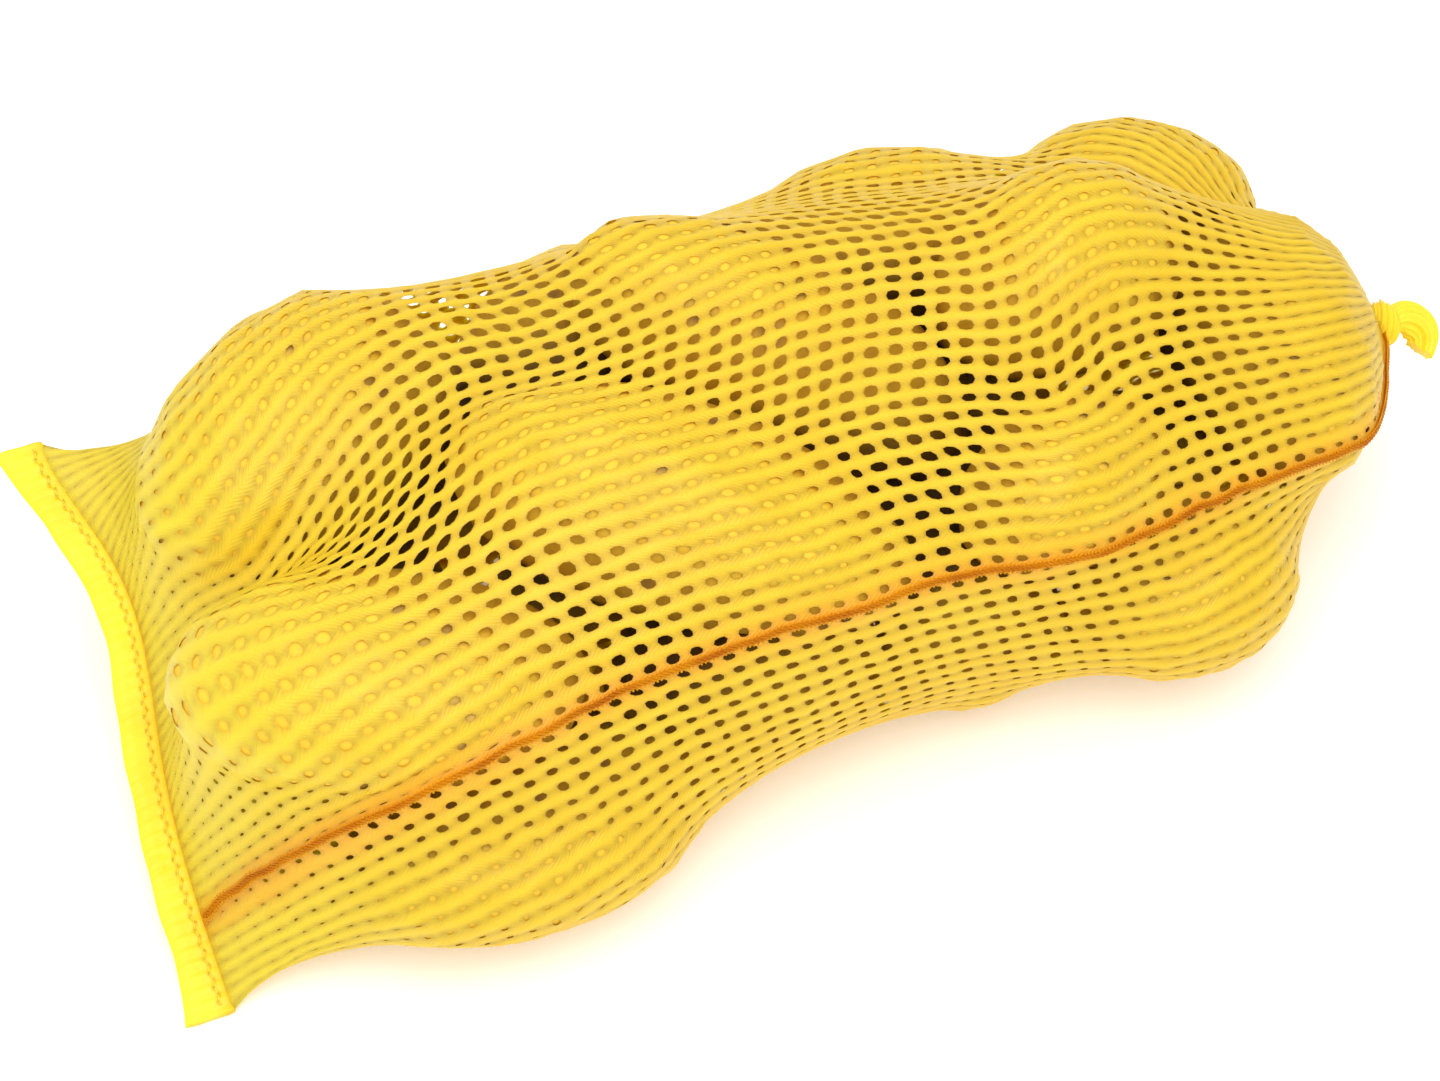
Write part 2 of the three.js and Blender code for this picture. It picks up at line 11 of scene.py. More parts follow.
import bpy
import numpy as np
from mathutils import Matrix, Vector

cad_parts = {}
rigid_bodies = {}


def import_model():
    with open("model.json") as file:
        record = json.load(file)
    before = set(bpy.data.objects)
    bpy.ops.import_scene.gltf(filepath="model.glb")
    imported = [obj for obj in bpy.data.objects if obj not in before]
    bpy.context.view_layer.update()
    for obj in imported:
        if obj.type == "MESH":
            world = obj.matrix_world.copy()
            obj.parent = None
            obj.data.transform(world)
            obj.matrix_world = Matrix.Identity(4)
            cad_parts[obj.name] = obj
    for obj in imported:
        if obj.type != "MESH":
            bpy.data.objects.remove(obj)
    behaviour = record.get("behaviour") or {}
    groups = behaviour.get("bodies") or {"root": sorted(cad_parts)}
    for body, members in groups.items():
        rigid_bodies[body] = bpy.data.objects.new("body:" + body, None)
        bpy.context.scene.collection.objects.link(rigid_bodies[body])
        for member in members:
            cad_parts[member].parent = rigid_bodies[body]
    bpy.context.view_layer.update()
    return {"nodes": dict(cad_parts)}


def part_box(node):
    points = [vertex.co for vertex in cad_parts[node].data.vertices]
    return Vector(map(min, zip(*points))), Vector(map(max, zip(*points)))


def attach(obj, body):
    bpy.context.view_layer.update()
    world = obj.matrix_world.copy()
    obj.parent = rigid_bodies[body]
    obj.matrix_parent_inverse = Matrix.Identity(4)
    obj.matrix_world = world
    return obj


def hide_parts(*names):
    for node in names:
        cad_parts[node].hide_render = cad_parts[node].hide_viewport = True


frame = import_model()

# The view: a long lens above the near side and a little towards the hem, and a plain white table
# under one broad soft light from the front and a weaker one from above.
VIEW_TARGET = Vector((-0.029, -0.014, 0.0583))
VIEW_AZIMUTH = math.radians(-22)
VIEW_ELEVATION = math.radians(50)
VIEW_DISTANCE = 1.1
VIEW_SPAN = 0.412        # width that the picture takes in at the target
FILM_WIDTH = 36.0
TABLE_SIZE = 12.0
TABLE_WHITE = (0.93, 0.93, 0.925, 1)
TABLE_GLOW = 0.2         # the table gives off a little light, so shadows on it stay pale
SKY_WHITE = (1.0, 1.0, 1.0, 1)
SKY_STRENGTH = 0.8

back = Vector((
    math.sin(VIEW_AZIMUTH) * math.cos(VIEW_ELEVATION),
    -math.cos(VIEW_AZIMUTH) * math.cos(VIEW_ELEVATION),
    math.sin(VIEW_ELEVATION),
))
camera = bpy.data.objects.new("camera", bpy.data.cameras.new("camera"))
camera.location = VIEW_TARGET + VIEW_DISTANCE * back
camera.rotation_euler = back.to_track_quat("Z", "Y").to_euler()
camera.data.sensor_width = FILM_WIDTH
camera.data.lens = FILM_WIDTH * VIEW_DISTANCE / VIEW_SPAN
bpy.context.scene.collection.objects.link(camera)
bpy.context.scene.camera = camera
bpy.context.scene.view_settings.view_transform = "Standard"


def add_soft_light(name, place, size, power):
    """A square light of the given side, at a place, that faces the middle of the bag."""
    lamp = bpy.data.lights.new(name, "AREA")
    lamp.size = size
    lamp.energy = power
    light = bpy.data.objects.new(name, lamp)
    light.location = place
    light.rotation_euler = (Vector(place) - VIEW_TARGET).to_track_quat("Z", "Y").to_euler()
    bpy.context.scene.collection.objects.link(light)


add_soft_light("front_light", place=(-0.23, -0.68, 1.32), size=1.0, power=11)
add_soft_light("overhead_light", place=(-0.1, 0.3, 1.5), size=1.2, power=5)

world = bpy.data.worlds.new("room")
world.use_nodes = True
world.node_tree.nodes["Background"].inputs["Color"].default_value = SKY_WHITE
world.node_tree.nodes["Background"].inputs["Strength"].default_value = SKY_STRENGTH
bpy.context.scene.world = world

half = TABLE_SIZE / 2
table_mesh = bpy.data.meshes.new("table")
table_corners = [(-half, -half, 0), (half, -half, 0), (half, half, 0), (-half, half, 0)]
table_mesh.from_pydata(table_corners, [], [(0, 1, 2, 3)])
table = bpy.data.objects.new("table", table_mesh)
bpy.context.scene.collection.objects.link(table)
table_paint = bpy.data.materials.new("table_white")
table_paint.use_nodes = True
table_paint.node_tree.nodes["Principled BSDF"].inputs["Base Color"].default_value = TABLE_WHITE
table_paint.node_tree.nodes["Principled BSDF"].inputs["Roughness"].default_value = 0.6
table_paint.node_tree.nodes["Principled BSDF"].inputs["Emission Color"].default_value = TABLE_WHITE
table_paint.node_tree.nodes["Principled BSDF"].inputs["Emission Strength"].default_value = TABLE_GLOW
table_mesh.materials.append(table_paint)

# The potatoes: firm yellow-skinned tubers, smooth and slightly lumpy, with a few shallow eyes, their
# yellow made deeper and brighter as painted light, the yellow light that the net lets through. Each
# one is grown inside its faceted solid, so it lies as close to its neighbours as the solids do.
SKIN_SIDES = 84
SKIN_RINGS = 60
FACE_SHARPNESS = 150     # how closely the skin follows its solid's faces
LUMP_DEPTH = 0.00015
LUMP_COUNT = 7
LUMP_WAVES = 3.2         # spread of a wave's rates, in radians for a unit of direction
EYE_COUNT = 9
EYE_DEPTH = 0.0010
EYE_RADIUS = 0.0034
EYE_SIZES = (0.75, 1.3)  # the least and the greatest, as shares of that radius
BROW_HEIGHT = 0.0004
BROW_PLACE = 1.5         # from the eye, in its own radii
BROW_WIDTH = 0.5
# The skin's two tones: partly its own tan, partly painted light, the net's yellow light on it.
SKIN_TAN = (0.86, 0.52, 0.024, 1)
SKIN_YELLOW = (0.92, 0.60, 0.038, 1)
EYE_BROWN = (0.50, 0.30, 0.07, 1)
# Painted shade for the skin deep in the hollows between the potatoes:
HOLLOW_SHADE_BROWN = (0.085, 0.035, 0.008, 1)


def add_surface(name, points, quads, fans, places):
    """A smooth mesh object from points, four- and three-cornered faces, and each corner's place on
    the map, in the order of the faces."""
    mesh = bpy.data.meshes.new(name)
    corners = np.concatenate([quads.ravel(), fans.ravel()]).astype(np.int32)
    sizes = np.concatenate([np.full(len(quads), 4), np.full(len(fans), 3)])
    mesh.vertices.add(len(points))
    mesh.vertices.foreach_set("co", points.astype(np.float32).ravel())
    mesh.loops.add(len(corners))
    mesh.loops.foreach_set("vertex_index", corners)
    mesh.polygons.add(len(sizes))
    mesh.polygons.foreach_set("loop_start", (np.cumsum(sizes) - sizes).astype(np.int32))
    mesh.update(calc_edges=True)
    mesh.shade_smooth()
    mesh.uv_layers.new(name="UVMap").data.foreach_set("uv", places.astype(np.float32).ravel())
    piece = bpy.data.objects.new(name, mesh)
    bpy.context.scene.collection.objects.link(piece)
    return piece


def add_tubes(name, rings, poles, ring_length=1.0):
    """Tubes from points in the order tube, ring, side, closed at both ends by the poles, two points
    for each tube. The map's first coordinate is the share of the way round a ring, the second the
    ring's number times its length."""
    tubes, count, sides, _ = rings.shape
    ring, side = np.meshgrid(np.arange(count - 1), np.arange(sides), indexing="ij")
    spots = np.stack([side, ring, side + 1, ring, side + 1, ring + 1, side, ring + 1], -1).reshape(-1, 4, 2)
    start = np.arange(tubes)[:, None] * count * sides
    quads = (spots[..., 1] * sides + spots[..., 0] % sides + start[..., None]).reshape(-1, 4)
    here, there = np.arange(sides), (np.arange(sides) + 1) % sides
    pole = tubes * count * sides + 2 * np.arange(tubes)[:, None]
    end = start + (count - 1) * sides
    near = np.stack([np.broadcast_to(pole, (tubes, sides)), start + there, start + here], -1)
    far = np.stack([np.broadcast_to(pole + 1, (tubes, sides)), end + here, end + there], -1)
    low, high = np.zeros(sides), np.full(sides, count - 1)
    near_spots = np.stack([here + 0.5, low, here + 1, low, here, low], -1)
    far_spots = np.stack([here + 0.5, high, here, high, here + 1, high], -1)
    fan_spots = np.concatenate([np.tile(near_spots, (tubes, 1)), np.tile(far_spots, (tubes, 1))])
    places = np.concatenate([np.tile(spots, (tubes, 1, 1)).reshape(-1, 2), fan_spots.reshape(-1, 2)])
    return add_surface(name, np.concatenate([rings.reshape(-1, 3), poles.reshape(-1, 3)]), quads,
                       np.concatenate([near, far]).reshape(-1, 3), places * [1 / sides, ring_length])


def solid_planes(node):
    """A convex solid's middle, for each face its outward normal and its distance from there, and the
    solid's reach and points about the middle."""
    mesh = node.data
    points = np.empty(3 * len(mesh.vertices))
    mesh.vertices.foreach_get("co", points)
    points = points.reshape(-1, 3)
    mesh.calc_loop_triangles()
    index = np.empty(3 * len(mesh.loop_triangles), np.int32)
    mesh.loop_triangles.foreach_get("vertices", index)
    a, b, c = points[index.reshape(-1, 3)].transpose(1, 0, 2)
    normal = np.cross(b - a, c - a)
    normal /= np.linalg.norm(normal, axis=1, keepdims=True)
    middle = (points.min(0) + points.max(0)) / 2
    return {"middle": middle, "normal": normal, "distance": np.sum(normal * (a - middle), axis=1),
            "reach": np.linalg.norm(points - middle, axis=1).max(), "points": points - middle}


def grow_potato(name, solid, random):
    """The skin along each direction u lies at the soft minimum of its solid's faces,
    r = (sum of (n.u / d)^p)^(-1/p), less a mean of slow waves for the lumps and a bell-shaped dip
    for each eye, with a low brow beside it. Rings run round the potato's long axis, turning so that
    the faces point outwards."""
    spread = np.linalg.eigh(solid["points"].T @ solid["points"])[1]
    long_axis, wide_axis = spread[:, 2], spread[:, 1]
    deep_axis = np.cross(wide_axis, long_axis)
    polar = np.pi * (np.arange(SKIN_RINGS) + 1) / (SKIN_RINGS + 1)
    around = 2 * np.pi * np.arange(SKIN_SIDES) / SKIN_SIDES
    polar = np.concatenate([[0], polar, [np.pi]])[:, None, None]
    around = around[None, :, None]
    u = np.cos(polar) * long_axis + np.sin(polar) * (np.cos(around) * wide_axis + np.sin(around) * deep_axis)
    facing = np.maximum(u @ solid["normal"].T / solid["distance"], 0)
    radius = np.sum(facing ** FACE_SHARPNESS, axis=-1) ** (-1 / FACE_SHARPNESS)
    radius /= np.max(radius * facing.max(axis=-1))
    waves = random.normal(0, LUMP_WAVES, (LUMP_COUNT, 3))
    phases = random.uniform(0, 2 * np.pi, LUMP_COUNT)
    lumps = np.cos(u @ waves.T + phases).mean(axis=-1)
    dip = LUMP_DEPTH * (1 + lumps)
    eye_mark = np.zeros(radius.shape)
    for _ in range(EYE_COUNT):
        eye = random.normal(size=3)
        eye /= np.linalg.norm(eye)
        brow_side = np.cross(eye, long_axis)
        offset = (u - eye) * radius[..., None]
        away = np.linalg.norm(offset, axis=-1) / (EYE_RADIUS * random.uniform(*EYE_SIZES))
        dent = np.exp(-away ** 2)
        brow = np.exp(-((away - BROW_PLACE) / BROW_WIDTH) ** 2)
        brow *= np.clip(offset @ brow_side / EYE_RADIUS, 0, 1)
        dip += EYE_DEPTH * dent - BROW_HEIGHT * brow
        eye_mark = np.maximum(eye_mark, dent)
    skin = solid["middle"] + (radius - np.maximum(dip, 0))[..., None] * u
    piece = add_tubes(name, skin[None, 1:-1], poles=np.stack([skin[0, 0], skin[-1, 0]])[None])
    mark = piece.data.attributes.new("eye", "FLOAT", "POINT")
    values = np.concatenate([eye_mark[1:-1].ravel(), [eye_mark[0, 0], eye_mark[-1, 0]]])
    mark.data.foreach_set("value", values.astype(np.float32))
    return piece


def potato_skin():
    """Matt yellow-tan skin, made more yellow as painted light from the net: cloudy patches, fine freckles,
    darker eyes, painted shade in the hollows and a faint scurf relief."""
    material = bpy.data.materials.new("potato_skin")
    material.use_nodes = True
    nodes, links = material.node_tree.nodes, material.node_tree.links
    shader = nodes["Principled BSDF"]
    shader.inputs["Subsurface Weight"].default_value = 0.1
    shader.inputs["Subsurface Scale"].default_value = 0.004
    shader.inputs["Subsurface Radius"].default_value = (1.0, 0.6, 0.2)
    shader.inputs["Specular IOR Level"].default_value = 0.35
    place = nodes.new("ShaderNodeTexCoord")
    cloud = nodes.new("ShaderNodeTexNoise")
    cloud.inputs["Scale"].default_value = 38
    cloud.inputs["Detail"].default_value = 5
    links.new(place.outputs["Object"], cloud.inputs["Vector"])
    tone = nodes.new("ShaderNodeValToRGB")
    tone.color_ramp.elements[0].position = 0.3
    tone.color_ramp.elements[0].color = SKIN_TAN
    tone.color_ramp.elements[1].position = 0.7
    tone.color_ramp.elements[1].color = SKIN_YELLOW
    links.new(cloud.outputs["Fac"], tone.inputs["Fac"])
    freckle = nodes.new("ShaderNodeTexVoronoi")
    freckle.inputs["Scale"].default_value = 420
    links.new(place.outputs["Object"], freckle.inputs["Vector"])
    speck = nodes.new("ShaderNodeMapRange")
    speck.inputs["From Min"].default_value = 0.12
    speck.inputs["From Max"].default_value = 0.3
    speck.inputs["To Min"].default_value = 0.25
    speck.inputs["To Max"].default_value = 0
    links.new(freckle.outputs["Distance"], speck.inputs["Value"])
    eye = nodes.new("ShaderNodeAttribute")
    eye.attribute_name = "eye"
    darker = nodes.new("ShaderNodeMath")
    darker.operation = "MAXIMUM"
    links.new(speck.outputs["Result"], darker.inputs[0])
    links.new(eye.outputs["Fac"], darker.inputs[1])
    mix = nodes.new("ShaderNodeMix")
    mix.data_type = "RGBA"
    mix.inputs["B"].default_value = EYE_BROWN
    links.new(darker.outputs["Value"], mix.inputs["Factor"])
    links.new(tone.outputs["Color"], mix.inputs["A"])
    # Painted shade: skin deep beneath the net darkens towards a dark brown.
    hollow_shade = nodes.new("ShaderNodeAttribute")
    hollow_shade.attribute_name = "hollow_shade"
    hollow_shaded = nodes.new("ShaderNodeMix")
    hollow_shaded.data_type = "RGBA"
    hollow_shaded.inputs["B"].default_value = HOLLOW_SHADE_BROWN
    links.new(hollow_shade.outputs["Fac"], hollow_shaded.inputs["Factor"])
    links.new(mix.outputs["Result"], hollow_shaded.inputs["A"])
    links.new(hollow_shaded.outputs["Result"], shader.inputs["Base Color"])
    grain = nodes.new("ShaderNodeTexNoise")
    grain.inputs["Scale"].default_value = 900
    grain.inputs["Detail"].default_value = 3
    links.new(place.outputs["Object"], grain.inputs["Vector"])
    bump = nodes.new("ShaderNodeBump")
    bump.inputs["Strength"].default_value = 0.35
    bump.inputs["Distance"].default_value = 0.0003
    links.new(grain.outputs["Fac"], bump.inputs["Height"])
    links.new(bump.outputs["Normal"], shader.inputs["Normal"])
    rough = nodes.new("ShaderNodeMapRange")
    rough.inputs["To Min"].default_value = 0.5
    rough.inputs["To Max"].default_value = 0.75
    links.new(cloud.outputs["Fac"], rough.inputs["Value"])
    links.new(rough.outputs["Result"], shader.inputs["Roughness"])
    return material


potato_names = sorted(name for name in frame["nodes"] if name.startswith("potato_"))
potato_solids = {name: solid_planes(frame["nodes"][name]) for name in potato_names}
skin = potato_skin()
for number, name in enumerate(potato_names):
    random = np.random.default_rng(number)
    potato = grow_potato(name.replace("potato_", "tuber_"), potato_solids[name], random)
    potato.data.materials.append(skin)
    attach(potato, "root")
    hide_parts(name)

# The net: one knitted tube of flat yellow polyethylene yarn, a chain of loops along the bag
# for each column and a yarn laid across for each row, so every stitch is a round hole. It is drawn
# tight over the potatoes, from the folded hem to the gathered neck.
COLUMNS = 92
ROWS = 66
LENGTHWISE_PULL = 3.0
NET_CLEARANCE = 0.0002       # from a potato's faces to the middle of the net
NET_FLOOR = 0.0006
FOLD_SLIT = 0.0015
HEM_SAG = 0.010
HEM_THICKNESS = 0.0032
HEM_CLEARANCE = 0.00035
NECK_RADIUS = 0.0055
PLEATS = 12
PLEAT_DEPTH = 0.16
SWELL_SHARE = 5.0
OVAL_WIDTH = 0.56
OVAL_HEIGHT = 0.58
SWEEPS = 420
OVERSHOOT = 1.45
SEAM_COLUMN = COLUMNS // 12
SEAM_PULL = 0.5
STRETCH_SWING = 0.12         # the stitches over the top are wider than those underneath
STRETCH_COLUMN = COLUMNS // 3
CHAIN_HALF_WIDTH = 0.00128
TAPE_HALF_WIDTH = 0.00122
PRESSED_WIDENING = 0.52      # how much wider the yarn lies where it is pressed on a potato
PRESSED_HEIGHT = 0.0055
UNDERSIDE_CLOSING = 0.5      # the net beneath is slack, so its holes are smaller
CHAIN_RISE = 0.00052         # half of the yarn's thickness on a chain, on a tape and where they meet
TAPE_RISE = 0.00016
CROSSING_RISE = 0.00055
NARROWEST_HOLE = 0.04
WIDEST_HOLE = 0.64
CORNER_FULLNESS = 1.06
DENSE_ROWS = 13              # by the hem the net is pulled nearly shut
EVEN_ROWS = 22               # from each end, until the stitches are quite even
DENSE_HOLE = 0.08
DENSE_FLATNESS = 0.65        # and the less its yarn stands out
STITCH_JITTER = 0.00035
FULL_SPACING = 0.005         # narrower stitches wander less
HOLE_VARIATION = 0.07
YARN_VARIATION = 0.12
YARN_YELLOW = (0.90, 0.56, 0.022, 1)
YARN_SHADE = (0.86, 0.51, 0.016, 1)
# painted shade for the tape between the chains, where it lies lower
TAPE_PAINTED_SHADE = (0.70, 0.39, 0.010, 1)
# partly the dense net's own paler tone near the hem, partly painted glow
HEM_LEMON_AND_GLOW = (1.0, 0.72, 0.045, 1)
# painted glow of the seam thread on the net beside it
SEAM_PAINTED_GLOW = (1.0, 0.40, 0.015, 1)
SEAM_GLOW_WIDTH = 0.005
HEM_GLOW_LENGTH = 0.026

all_points = np.concatenate([solid["points"] + solid["middle"] for solid in potato_solids.values()])
load_low, load_high = all_points.min(0), all_points.max(0)
hem_low, hem_high = (np.array(corner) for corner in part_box("bottom_hem"))
knot_low, knot_high = (np.array(corner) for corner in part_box("mouth_knot"))
neck_middle = (knot_low + knot_high) / 2 * [0, 1, 1] + [knot_low[0] - HEM_CLEARANCE, 0, 0]


def hem_line(share):
    """The hem from the near ear (0) to the far ear (1): straight across in plan but for one bow,
    (1 - cos(2 pi share^1.8)) / 2, towards the load, and rising steadily to the far ear."""
    bow = (1 - np.cos(2 * np.pi * share ** 1.8)) / 2
    x = hem_high[0] + HEM_CLEARANCE - HEM_SAG * (1 - bow)
    y = hem_low[1] + (hem_high[1] - hem_low[1]) * share
    z = hem_low[2] + HEM_THICKNESS / 2 + (hem_high[2] - hem_low[2] - HEM_THICKNESS) * share
    return np.stack([x, y, z], -1)


def neck_ring(columns):
    """The neck's ring of points, its radius waving once for each pleat."""
    angle = 2 * np.pi * np.arange(columns) / columns
    radius = NECK_RADIUS * (1 + PLEAT_DEPTH * np.cos(PLEATS * angle))
    spokes = np.stack([np.zeros(columns), -np.cos(angle), np.sin(angle)], -1)
    return neck_middle + radius[:, None] * spokes


def loose_net():
    """Crossings before the net is drawn tight, in the order row, column: an oval tube that narrows
    to the flat hem at the first row and to the neck's ring at the last."""
    share = (np.arange(ROWS + 1) / ROWS)[:, None, None]
    column = np.arange(COLUMNS)
    angle = 2 * np.pi * column / COLUMNS
    hem = hem_line(1 - np.abs(1 - 2 * column / COLUMNS))
    hem[:, 2] += np.sign(np.round(np.sin(angle), 6)) * FOLD_SLIT / 2
    ends = hem + share * (neck_ring(COLUMNS) - hem)
    middle, size = (load_low + load_high) / 2, load_high - load_low
    oval = ends.copy()
    oval[..., 1] = middle[1] - OVAL_WIDTH * size[1] * np.cos(angle)
    oval[..., 2] = middle[2] + OVAL_HEIGHT * size[2] * np.sin(angle)
    swell = np.minimum(1, SWELL_SHARE * np.minimum(share, 1 - share))
    return ends + swell * (oval - ends)


def keep_outside(points, clearance):
    """Points within the clearance of a potato are moved straight out of the face nearest to them."""
    for solid in potato_solids.values():
        offset = points - solid["middle"]
        close = np.flatnonzero(np.sum(offset ** 2, axis=1) < (solid["reach"] + clearance) ** 2)
        height = offset[close] @ solid["normal"].T - solid["distance"]
        face = height.argmax(axis=1)
        lack = clearance - height[np.arange(len(close)), face]
        inside = lack > 0
        points[close[inside]] += lack[inside, None] * solid["normal"][face[inside]]


def height_over(points):
    """How far points lie above the faces of the nearest potato."""
    height = np.full(len(points), np.inf)
    for solid in potato_solids.values():
        faces = (points - solid["middle"]) @ solid["normal"].T - solid["distance"]
        height = np.minimum(height, faces.max(axis=1))
    return height


def seam_route():
    """The sewn seam's middle, read from its solid in slices along X: rows of x, y and z."""
    mesh = frame["nodes"]["side_seam"].data
    points = np.empty(3 * len(mesh.vertices))
    mesh.vertices.foreach_get("co", points)
    points = points.reshape(-1, 3)
    edges = np.linspace(points[:, 0].min(), points[:, 0].max(), 40)
    slices = np.digitize(points[:, 0], edges[1:-1])
    return np.array([points[slices == number].mean(axis=0) for number in np.unique(slices)])


def tight_net():
    """Each crossing goes to the mean of its four neighbours, those along the bag pulling harder, in
    a chequered order with some overshoot, then out of the potatoes, above the table, to its own
    side of the folded sheets and, on the seam's columns, towards the seam."""
    net = loose_net()
    row, column = np.meshgrid(np.arange(1, ROWS), np.arange(COLUMNS), indexing="ij")
    route = seam_route()
    upper = np.arange(1, COLUMNS // 2)
    lower = COLUMNS - upper
    for _ in range(SWEEPS):
        for colour in (0, 1):
            along = net[:-2] + net[2:]
            across = np.roll(net, 1, axis=1)[1:-1] + np.roll(net, -1, axis=1)[1:-1]
            mean = (LENGTHWISE_PULL * along + across) / (2 * LENGTHWISE_PULL + 2)
            turn = ((row + column) % 2 == colour)[..., None]
            net[1:-1] += turn * OVERSHOOT * (mean - net[1:-1])
        seam = net[1:-1, SEAM_COLUMN:SEAM_COLUMN + 1]
        for axis in (1, 2):
            drawn = np.interp(seam[..., 0], route[:, 0], route[:, axis])
            seam[..., axis] += SEAM_PULL * (drawn - seam[..., axis])
        free = net[1:-1].reshape(-1, 3)
        keep_outside(free, NET_CLEARANCE)
        free[:, 2] = np.maximum(free[:, 2], NET_FLOOR)
        net[1:-1] = free.reshape(ROWS - 1, COLUMNS, 3)
        lack = np.maximum(FOLD_SLIT - (net[1:-1, upper, 2] - net[1:-1, lower, 2]), 0)
        down = np.minimum(lack / 2, net[1:-1, lower, 2] - NET_FLOOR)
        net[1:-1, lower, 2] -= down
        net[1:-1, upper, 2] += lack - down
    return net


def evened(net):
    """The same net with its stitches even: crossings moved along each row from the seam on towards
    widths of 1 + swing cos(turn from the most stretched column), less so near the hem and the neck,
    and then spaced equally along each column."""
    column = np.arange(COLUMNS) + SEAM_COLUMN + 0.5
    widths = 1 + STRETCH_SWING * np.cos(2 * np.pi * (column - STRETCH_COLUMN) / COLUMNS)
    places = np.concatenate([[0], np.cumsum(widths)[:-1]]) / widths.sum()
    for row in range(1, ROWS):
        loop = np.roll(net[row], -SEAM_COLUMN, axis=0)
        loop = np.concatenate([loop, loop[:1]])
        length = np.concatenate([[0], np.cumsum(np.linalg.norm(np.diff(loop, axis=0), axis=1))])
        evenness = min(1, row / EVEN_ROWS, (ROWS - row) / EVEN_ROWS)
        at = length[:-1] + evenness * (length[-1] * places - length[:-1])
        spread = np.stack([np.interp(at, length, loop[:, axis]) for axis in range(3)], -1)
        net[row] = np.roll(spread, SEAM_COLUMN, axis=0)
    for column in range(COLUMNS):
        line = net[:, column]
        length = np.concatenate([[0], np.cumsum(np.linalg.norm(np.diff(line, axis=0), axis=1))])
        at = np.linspace(0, length[-1], ROWS + 1)
        net[:, column] = np.stack([np.interp(at, length, line[:, axis]) for axis in range(3)], -1)
    return net


def net_normals(net):
    """The outward unit normal at each crossing, from its neighbours along and around."""
    along = np.gradient(net, axis=0)
    along[[0, -1]] = [1.0, 0, 0]
    around = np.roll(net, -1, axis=1) - np.roll(net, 1, axis=1)
    normal = np.cross(along, around)
    return normal / (np.linalg.norm(normal, axis=-1, keepdims=True) + 1e-12)


def curve_through(points, steps, looped):
    """A smooth curve through rows of points (axis 0), sampled in steps: the Catmull-Rom cubic."""
    padded = points[[-1, *range(len(points)), 0, 1]] if looped else points[[0, *range(len(points)), -1]]
    t = (np.arange(steps) / steps).reshape(1, -1, *[1] * (points.ndim - 1))
    a, b, c, d = (padded[k:len(padded) - 3 + k, None] for k in range(4))
    curve = b + 0.5 * t * (c - a + t * (2 * a - 5 * b + 4 * c - d + t * (3 * (b - c) + d - a)))
    curve = curve.reshape(-1, *points.shape[1:])
    return curve if looped else np.concatenate([curve, points[-1:]])


def doubled(points):
    """Points on the crossings, halfway between them, and in the middle of each stitch."""
    along = curve_through(points, 2, looped=False)
    return curve_through(along.transpose(1, 0, 2), 2, looped=True).transpose(1, 0, 2).copy()


